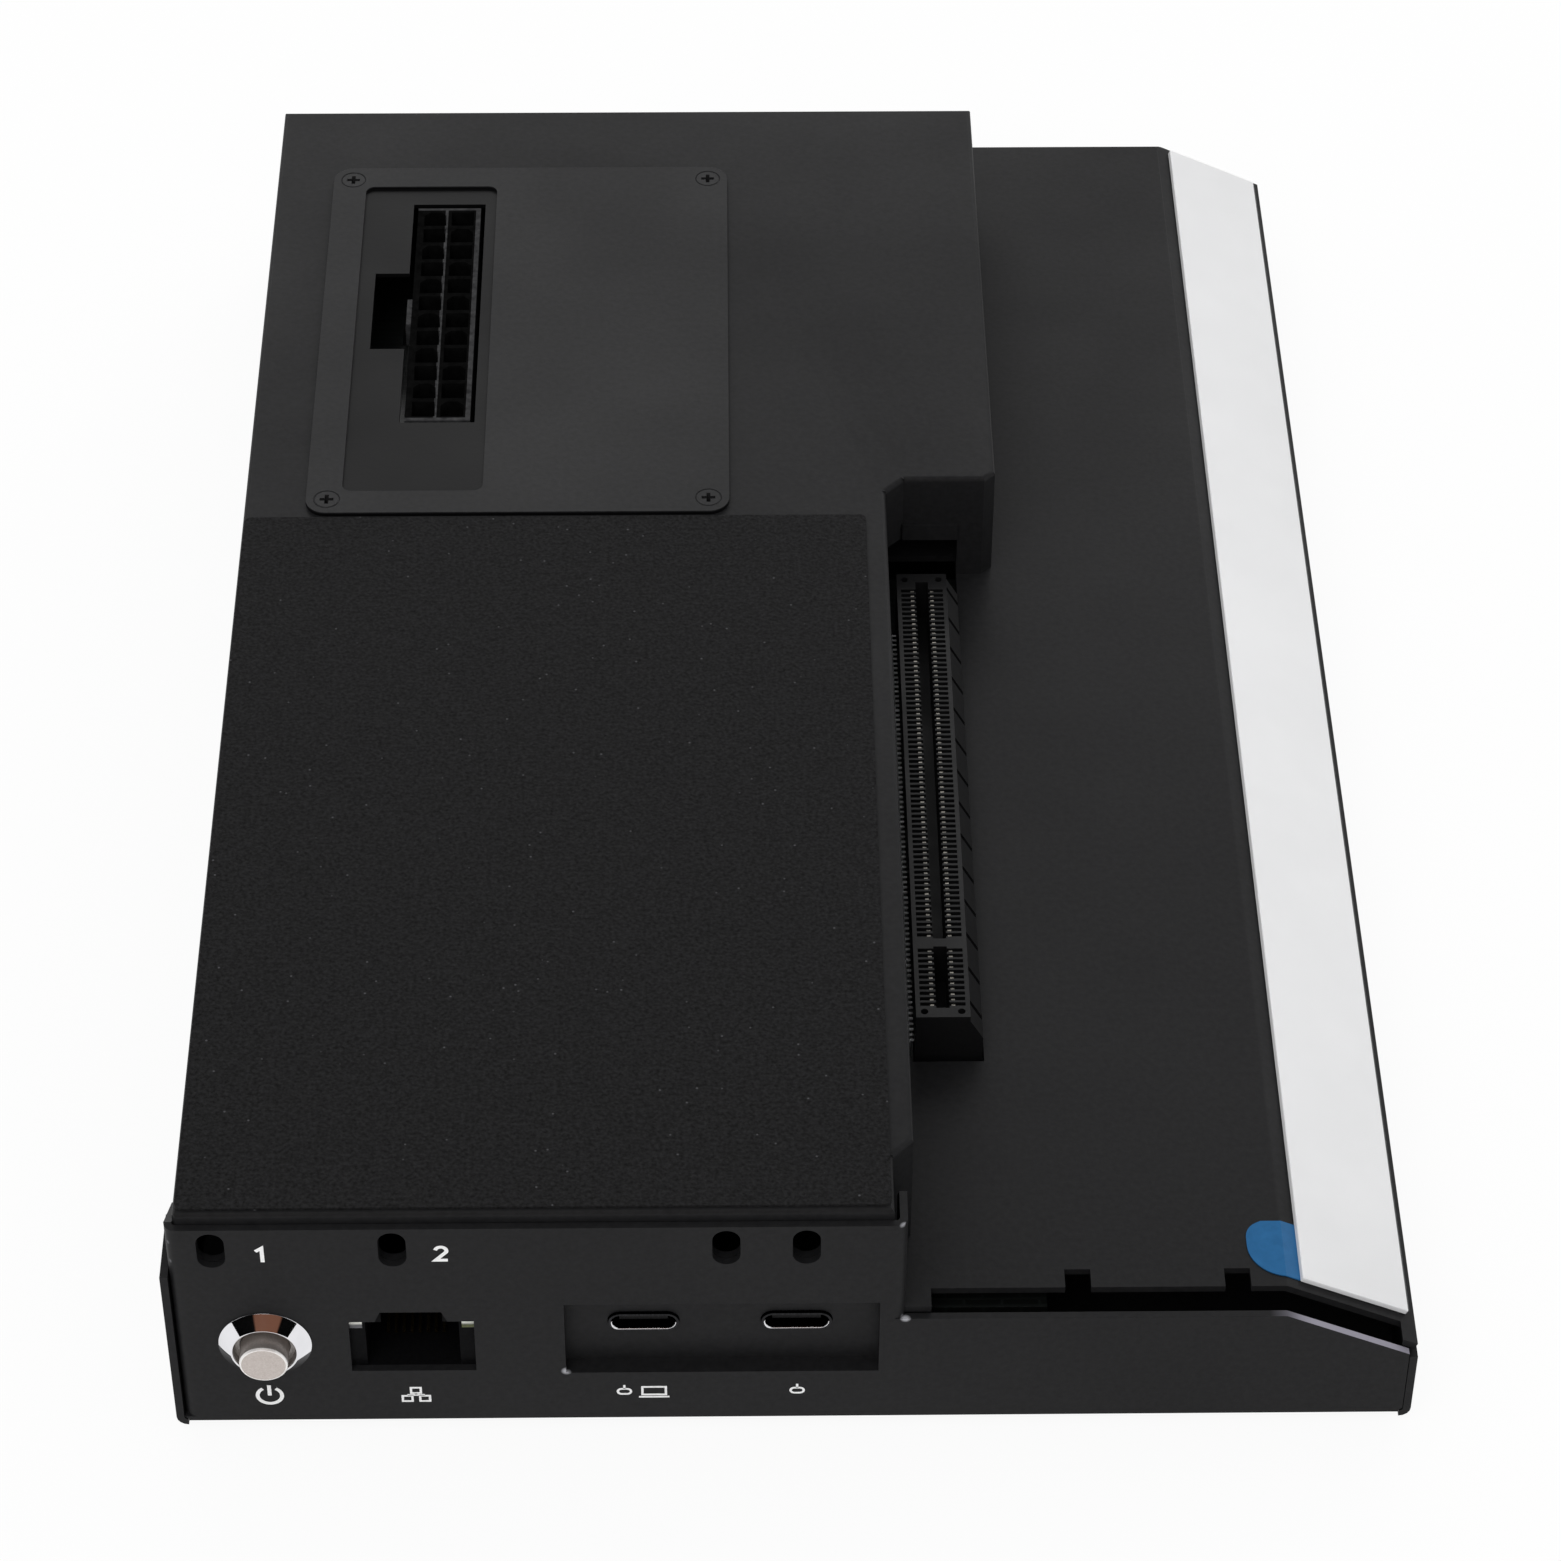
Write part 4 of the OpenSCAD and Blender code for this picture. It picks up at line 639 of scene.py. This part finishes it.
class ENCLOSURE_OT_boards(Operator):
    """Finish the boards and what stands on them"""
    bl_idname = "enclosure.boards"
    bl_label = "Boards"

    def execute(self, context):
        dress(solder_mask_board(), "main_board", "power_board")
        zinc = plated_metal("zinc_plated_steel", "#9FA0A3", "#C6C7CA", 0.3)
        dress(zinc, "power_board_standoffs", "power_board_screws", "main_board_standoffs",
              "main_board_screws", "button_nut")
        dress(moulded_plastic("epoxy_chip_package", "#0F0F0F", "#161616", 0.55), "controller_chip")
        dress(plated_metal("black_anodised_aluminium", "#1A1A1B", "#2B2B2C", 0.38), "heat_sink")
        dress(moulded_plastic("shrunk_capacitor_sleeve", "#15151A", "#20202A", 0.3), "capacitors")
        dress(moulded_plastic("pressed_iron_powder", "#1D1D1D", "#2B2B2B", 0.65, 0.3), "inductors")
        dress(moulded_plastic("grey_cable_jacket", "#4A4A4C", "#58585A", 0.5), "ribbon_cable")
        dress(moulded_plastic("white_nylon", "#CFCCC2", "#DEDBD2", 0.45), "ribbon_sockets")
        return {"FINISHED"}


class ENCLOSURE_OT_network_jack(Operator):
    """Finish the network jack, its contacts and its lights"""
    bl_idname = "enclosure.network_jack"
    bl_label = "Network jack"

    def execute(self, context):
        # the nickel shell is drawn near black: painted shade
        dress(plated_metal("nickel_shell_painted_dark", "#0E0E0F", "#19191A", 0.3), "jack_shell")
        dress(moulded_plastic("black_polyester", "#0B0B0C", "#111112", 0.35, gloss=0.02), "jack_insert")
        dress(plated_metal("gold_plated_wires", "#A8935E", "#D9C48E", 0.2), "jack_contacts", "button_terminals")
        dress(light_pipe(), "jack_lights")
        return {"FINISHED"}


class ENCLOSURE_OT_small_ports(Operator):
    """Finish the shells and tongues of the two small ports"""
    bl_idname = "enclosure.small_ports"
    bl_label = "Small ports"

    def execute(self, context):
        shells = ("left_port_shell", "right_port_shell")
        # the stainless shells are drawn near black: painted shade in the mouths
        dress(plated_metal("stainless_shell_painted_dark", "#1B1B1C", "#2E2E30", 0.25), *shells)
        soften(0.06, *shells)
        # the lip along the lower edge of each mouth, thickest at the left corner, drawn bright as a painted highlight
        bm = bmesh.new()
        z, face = (PORT_LOW.z + PORT_HIGH.z) / 2, PORT_LOW.y
        r = (PORT_HIGH.z - PORT_LOW.z) / 2 - 0.42 * MM
        for x in PORT_XS:
            reach = 4.5 * MM - (PORT_HIGH.z - PORT_LOW.z) / 2
            path = arc((x - reach, z), r, 165, 270, 10) + arc((x + reach, z), r, 270, 365, 10)
            thick = [0.07 + 0.13 * math.exp(-((i - 6) / 3) ** 2) for i in range(len(path))]
            bead(bm, [Vector((px, face - 0.02 * MM, pz)) for px, pz in path], [t * MM for t in thick])
        bright = plated_metal("painted_highlight_lip", "#DCDCDF", "#F2F2F4", 0.2)
        finish_piece("port_lip_highlights", mesh_from(bm, "port_lip_highlights"), bright, smooth=True)
        dress(moulded_plastic("black_liquid_crystal_polymer", "#0B0B0C", "#121213", 0.4),
              "left_port_tongue", "right_port_tongue")
        return {"FINISHED"}


class ENCLOSURE_OT_push_button(Operator):
    """Make the chrome bezel and the moving cap of the power button"""
    bl_idname = "enclosure.push_button"
    bl_label = "Push button"

    def execute(self, context):
        sizes = context.scene.enclosure_sizes
        face = PANEL_LOW.y
        place = Matrix.Translation((BUTTON_X, face, BUTTON_Z)) @ Matrix.Rotation(math.pi / 2, 4, "X")
        rim = (BODY_HIGH.x - BODY_LOW.x) / 2
        high = face - BODY_LOW.y
        back = face - BODY_HIGH.y
        cap = 3.1 * MM
        bore = cap + 0.05 * MM
        # a groove round the cap, a rounded lip, and a cone down to a thin rim on the panel
        groove = [(bore, high - 1.5 * MM), (bore + 0.1 * MM, high - 1.6 * MM), (bore + 0.7 * MM, high - 1.6 * MM),
                  (bore + 0.8 * MM, high - 1.5 * MM), (bore + 0.86 * MM, high - 0.56 * MM)]
        lip = arc((bore + 1.02 * MM, high - 0.42 * MM), 0.16 * MM, 180, 45, 8)
        edge = arc((rim - 0.1 * MM, 0.1 * MM), 0.1 * MM, 45, -90, 8)
        # points close to both ends of the cone keep its shading straight
        top_end, low_end = Vector(lip[-1]), Vector(edge[0])
        cone = [tuple(top_end.lerp(low_end, share)) for share in (0.02, 0.5, 0.98)]
        profile = [(bore, -3 * MM), *groove, *lip, *cone, *edge]
        profile += [(4.95 * MM, 0), (4.95 * MM, back), (4.05 * MM, back), (4.05 * MM, -3 * MM), (bore, -3 * MM)]
        bm = bmesh.new()
        turned(bm, profile, place, 128)
        bmesh.ops.remove_doubles(bm, verts=bm.verts, dist=1e-7)
        bezel = finish_piece("chrome_bezel", mesh_from(bm, "chrome_bezel"), polished_chrome(), smooth=True)
        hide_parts("button_body")
        bezel.data.set_sharp_from_angle(angle=math.radians(40))
        # painted shade: the faces in the groove get a duller, darker metal than the chrome
        bezel.data.materials.append(satin_metal("painted_shade_in_groove", "#807C79", "#A6A19D", 0.7))
        for patch in bezel.data.polygons:
            away = math.hypot(patch.center.x - BUTTON_X, patch.center.z - BUTTON_Z)
            if away < bore + 0.84 * MM:
                patch.material_index = 1

        top = face - PLUNGER_LOW.y
        edge = sizes.cap_rim * MM
        bm = bmesh.new()
        profile = [(0, top), (cap - edge - 0.15 * MM, top)]
        profile += arc((cap - edge, top - edge), edge, 90, 0, 6)
        tail = face - PLUNGER_HIGH.y
        profile += [(cap, -3.05 * MM), (3.9 * MM, -3.05 * MM), (3.9 * MM, -4.05 * MM), (1.5 * MM, -4.05 * MM),
                    (1.5 * MM, tail), (0, tail)]
        turned(bm, profile, place, 96)
        warm = satin_metal("bead_blasted_steel", "#BBB1AB", "#CCC4BF", 0.85)
        piece = finish_piece("button_cap", mesh_from(bm, "button_cap"), warm, "button", True)
        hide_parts("button_plunger")
        # painted highlight: the rounded rim's faces get a near white colour
        piece.data.materials.append(satin_metal("painted_rim_highlight", "#EDEAE7", "#FAF8F6", 0.6))
        for patch in piece.data.polygons:
            away = math.hypot(patch.center.x - BUTTON_X, patch.center.z - BUTTON_Z)
            if away > cap - edge - 0.03 * MM and patch.center.y < PLUNGER_LOW.y + edge:
                patch.material_index = 1
        piece.data.set_sharp_from_angle(angle=math.radians(40))
        dress(moulded_plastic("black_phenolic", "#151515", "#1D1D1D", 0.5), "button_base")
        return {"FINISHED"}


class ENCLOSURE_OT_button_spring(Operator):
    """Wind the spring behind the button; the coil stays fixed and does not shorten when the button is pressed"""
    bl_idname = "enclosure.button_spring"
    bl_label = "Button spring"

    def execute(self, context):
        low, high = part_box("button_spring")
        wire = 0.22 * MM
        middle = (high.x - low.x) / 2 - wire
        turns, steps, sides = 5, 24, 8
        bm = bmesh.new()
        rings = []
        for i in range(turns * steps + 1):
            around = 2 * math.pi * i / steps
            y = low.y + wire + (high.y - low.y - 2 * wire) * i / (turns * steps)
            ring = []
            for k in range(sides):
                tilt = 2 * math.pi * k / sides
                reach = middle + wire * math.cos(tilt)
                ring.append(bm.verts.new((BUTTON_X + reach * math.cos(around), y + wire * math.sin(tilt),
                                          BUTTON_Z + reach * math.sin(around))))
            rings.append(ring)
        for near, far in zip(rings, rings[1:]):
            for k in range(sides):
                j = (k + 1) % sides
                bm.faces.new((near[k], near[j], far[j], far[k]))
        bm.faces.new(rings[0])
        bm.faces.new(rings[-1])
        steel = plated_metal("zinc_plated_spring_wire", "#9FA0A3", "#C6C7CA", 0.3)
        spring = finish_piece("return_spring", mesh_from(bm, "return_spring"), steel, None, True)
        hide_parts("button_spring")
        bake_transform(spring)
        return {"FINISHED"}


class ENCLOSURE_OT_trim(Operator):
    """Finish the white trim strip, its film and the blue pull tab"""
    bl_idname = "enclosure.trim"
    bl_label = "Trim and film"

    def execute(self, context):
        dress(gloss_trim(), "trim_strip")
        soften(0.15, "trim_strip")
        dress(clear_film(), "protective_film")
        # the film clings: its underside sinks a hair into the trim, so that the two never share a plane
        cling = NODES["protective_film"].modifiers.new("clinging_film", "DISPLACE")
        cling.mid_level = 0
        cling.strength = 0.02 * MM
        dress(tinted_tab(), "film_tab")
        return {"FINISHED"}


class ENCLOSURE_OT_feet(Operator):
    """Finish the rubber feet and the case's own screws"""
    bl_idname = "enclosure.feet"
    bl_label = "Feet and case screws"

    def execute(self, context):
        dress(black_rubber(), "rubber_feet")
        dress(plated_metal("black_zinc_plated_steel", "#202021", "#303032", 0.36, 0.4), "case_screws")
        return {"FINISHED"}


class ENCLOSURE_OT_panel_marks(Operator):
    """Print the plain signs on the front panel"""
    bl_idname = "enclosure.panel_marks"
    bl_label = "Panel marks"

    def execute(self, context):
        sizes = context.scene.enclosure_sizes
        y = PANEL_LOW.y - sizes.ink_lift * MM
        line = sizes.line_width * MM
        fine = line * 0.6
        low = PANEL_LOW.z
        bm = bmesh.new()
        # power sign under the button
        x, z = BUTTON_X - 0.1 * MM, low + 4.9 * MM
        ring = [(x + px, z + pz) for px, pz in arc((0, 0), 1.56 * MM, 122, 418, 36)]
        stroke(bm, ring, line, y)
        stroke(bm, [(x, z), (x, z + 2.0 * MM)], line, y)
        # three joined boxes under the network jack
        x, z = JACK_X, low + 4.85 * MM
        for dx, dz in ((0, 0.85), (-1.12, -0.75), (1.12, -0.75)):
            w, h = 0.62 * MM, 0.52 * MM
            cx, cz = x + dx * MM, z + dz * MM
            stroke(bm, [(cx - w, cz - h), (cx + w, cz - h), (cx + w, cz + h), (cx - w, cz + h)], fine, y, True)
        stroke(bm, [(x, z + 0.3 * MM), (x, z)], fine, y)
        stroke(bm, [(x - 1.12 * MM, z - 0.05 * MM), (x + 1.12 * MM, z - 0.05 * MM)], fine, y)
        # a plug outline under each port, and an open computer beside the left one
        for port, shift in ((PORT_XS[0], -2.6), (PORT_XS[1], 0.1)):
            x, z = port + shift * MM, low + 5.2 * MM
            w, h = 0.85 * MM, 0.5 * MM
            plug = arc((x + w - h, z), h, -90, 90, 6) + arc((x - w + h, z), h, 90, 270, 6)
            stroke(bm, plug, fine, y, True)
            stroke(bm, [(x, z + h), (x, z + 1.25 * MM)], fine, y)
        x, z = PORT_XS[0] + 1.2 * MM, low + 5.2 * MM
        w, h = 1.5 * MM, 0.85 * MM
        stroke(bm, [(x - w, z - h + 0.2 * MM), (x + w, z - h + 0.2 * MM), (x + w, z + h), (x - w, z + h)], fine, y, True)
        stroke(bm, [(x - 1.95 * MM, z - h - 0.25 * MM), (x + 1.95 * MM, z - h - 0.25 * MM)], fine, y)
        # plain numbers beside the first two screw slots
        z = PANEL_HIGH.z - 4.6 * MM
        x = PANEL_LOW.x + 11.2 * MM
        stroke(bm, [(x, z + 0.7 * MM), (x + 0.8 * MM, z + 1.3 * MM), (x + 0.8 * MM, z - 1.3 * MM)], line, y)
        x = PANEL_LOW.x + 33.4 * MM
        two = arc((x + 0.8 * MM, z + 0.6 * MM), 0.7 * MM, 170, -20, 8) + [(x + 0.1 * MM, z - 1.15 * MM), (x + 1.6 * MM, z - 1.15 * MM)]
        stroke(bm, two, line, y)
        solid = bmesh.ops.extrude_face_region(bm, geom=bm.faces[:])
        moved = [v for v in solid["geom"] if isinstance(v, bmesh.types.BMVert)]
        bmesh.ops.translate(bm, vec=(0, sizes.ink_lift * MM, 0), verts=moved)
        finish_piece("panel_marks", mesh_from(bm, "panel_marks"), printed_ink())
        return {"FINISHED"}


class ENCLOSURE_OT_stage(Operator):
    """Make the floor, the soft studio light and the camera"""
    bl_idname = "enclosure.stage"
    bl_label = "Stage"

    def execute(self, context):
        scene = context.scene
        colours = scene.enclosure_colours
        bm = bmesh.new()
        bmesh.ops.create_grid(bm, x_segments=1, y_segments=1, size=6)
        mesh = mesh_from(bm, "studio_floor")
        floor = bpy.data.objects.new("studio_floor", mesh)
        scene.collection.objects.link(floor)
        material = bpy.data.materials.new("matte_studio_paper")
        material.use_nodes = True
        tree = material.node_tree
        tree.nodes.clear()
        paper = add(tree, "ShaderNodeBsdfDiffuse", {"Color": (*colours.floor, 1)})
        white = add(tree, "ShaderNodeEmission", {"Color": (1, 1, 1, 1), "Strength": 1.0})
        path = add(tree, "ShaderNodeLightPath")
        seen = add(tree, "ShaderNodeMath", {0: path.outputs["Is Camera Ray"], 1: path.outputs["Is Glossy Ray"]},
                   operation="MAXIMUM")
        share = add(tree, "ShaderNodeMath", {0: seen.outputs[0], 1: 0.92}, operation="MULTIPLY")
        mix = add(tree, "ShaderNodeMixShader", {0: share.outputs[0], 1: paper.outputs[0], 2: white.outputs[0]})
        add(tree, "ShaderNodeOutputMaterial", {"Surface": mix.outputs[0]})
        mesh.materials.append(material)

        world = bpy.data.worlds.new("soft_studio")
        scene.world = world
        world.use_nodes = True
        tree = world.node_tree
        tree.nodes.clear()
        # reflections see white walls under a dim ceiling, the camera sees plain white
        path = add(tree, "ShaderNodeLightPath")
        axes = add(tree, "ShaderNodeSeparateXYZ", {0: add(tree, "ShaderNodeTexCoord").outputs["Generated"]})
        ceiling = add(tree, "ShaderNodeMapRange", {"Value": axes.outputs["Z"], "From Min": 0.5, "From Max": 0.85,
                                                   "To Min": 1.0, "To Max": 0.3})
        soft = add(tree, "ShaderNodeBackground", {"Color": (1, 1, 1, 1), "Strength": 0.62})
        room = add(tree, "ShaderNodeBackground", {"Color": (1, 1, 1, 1), "Strength": ceiling.outputs[0]})
        white = add(tree, "ShaderNodeBackground", {"Color": (1, 1, 1, 1), "Strength": 1.0})
        mirrored = add(tree, "ShaderNodeMath", {0: path.outputs["Is Glossy Ray"],
                                                1: path.outputs["Is Transmission Ray"]}, operation="MAXIMUM")
        mix = add(tree, "ShaderNodeMixShader", {0: mirrored.outputs[0], 1: soft.outputs[0], 2: room.outputs[0]})
        mix = add(tree, "ShaderNodeMixShader", {0: path.outputs["Is Camera Ray"], 1: mix.outputs[0],
                                                2: white.outputs[0]})
        add(tree, "ShaderNodeOutputWorld", {"Surface": mix.outputs[0]})

        for name, place, wide, high, power in (("key", (-0.35, -1.0, 1.3), 1.0, 1.0, 8.0),
                                               ("back", (0.05, 1.35, 0.95), 1.6, 0.7, 5.5),
                                               ("side", (0.97, 1.1, 0.86), 0.35, 0.35, 2.0)):
            light = bpy.data.lights.new(name + "_softbox", "AREA")
            light.shape = "RECTANGLE"
            light.size, light.size_y = wide, high
            light.energy = power
            lamp = bpy.data.objects.new(name + "_softbox", light)
            lamp.location = place
            lamp.rotation_mode = "QUATERNION"
            lamp.rotation_quaternion = (-Vector(place)).to_track_quat("-Z", "Y")
            scene.collection.objects.link(lamp)
        dark_screen(scene)

        # the camera stands where the photograph was taken from
        camera = bpy.data.cameras.new("camera")
        camera.sensor_width = 36
        camera.lens = 113.42
        camera.clip_start = 0.01
        holder = bpy.data.objects.new("camera", camera)
        right = Vector((0.99991632, -0.01238434, 0.00373909))
        down = Vector((-0.0057752, -0.68597149, -0.7276055))
        forward = Vector((0.01157582, 0.72752302, -0.68598561))
        turn = Matrix((right, -down, -forward)).transposed().to_4x4()
        holder.matrix_world = Matrix.Translation((-8.666 * MM, -526.842 * MM, 496.316 * MM)) @ turn
        scene.collection.objects.link(holder)
        scene.camera = holder
        scene.view_settings.view_transform = "Standard"
        return {"FINISHED"}


OPERATORS = (
    ENCLOSURE_OT_case_metal,
    ENCLOSURE_OT_mat_and_plate,
    ENCLOSURE_OT_screws,
    ENCLOSURE_OT_header,
    ENCLOSURE_OT_card_slot,
    ENCLOSURE_OT_boards,
    ENCLOSURE_OT_network_jack,
    ENCLOSURE_OT_small_ports,
    ENCLOSURE_OT_push_button,
    ENCLOSURE_OT_button_spring,
    ENCLOSURE_OT_trim,
    ENCLOSURE_OT_feet,
    ENCLOSURE_OT_panel_marks,
    ENCLOSURE_OT_stage,
)


class ENCLOSURE_PT_panel(Panel):
    bl_idname = "ENCLOSURE_PT_panel"
    bl_label = "Graphics card enclosure"
    bl_space_type = "VIEW_3D"
    bl_region_type = "UI"
    bl_category = "Enclosure"

    def draw(self, context):
        column = self.layout.column()
        for group in (context.scene.enclosure_sizes, context.scene.enclosure_colours):
            for name in group.__annotations__:
                column.prop(group, name)
        for operator in OPERATORS:
            column.operator(operator.bl_idname)


CLASSES = (EnclosureSizes, EnclosureColours, *OPERATORS, ENCLOSURE_PT_panel)


def register():
    for cls in CLASSES:
        bpy.utils.register_class(cls)
    bpy.types.Scene.enclosure_sizes = PointerProperty(type=EnclosureSizes)
    bpy.types.Scene.enclosure_colours = PointerProperty(type=EnclosureColours)


def unregister():
    del bpy.types.Scene.enclosure_colours
    del bpy.types.Scene.enclosure_sizes
    for cls in reversed(CLASSES):
        bpy.utils.unregister_class(cls)


def main():
    register()
    for operator in OPERATORS:
        group, name = operator.bl_idname.split(".")
        getattr(getattr(bpy.ops, group), name)()


if __name__ == "__main__":
    main()
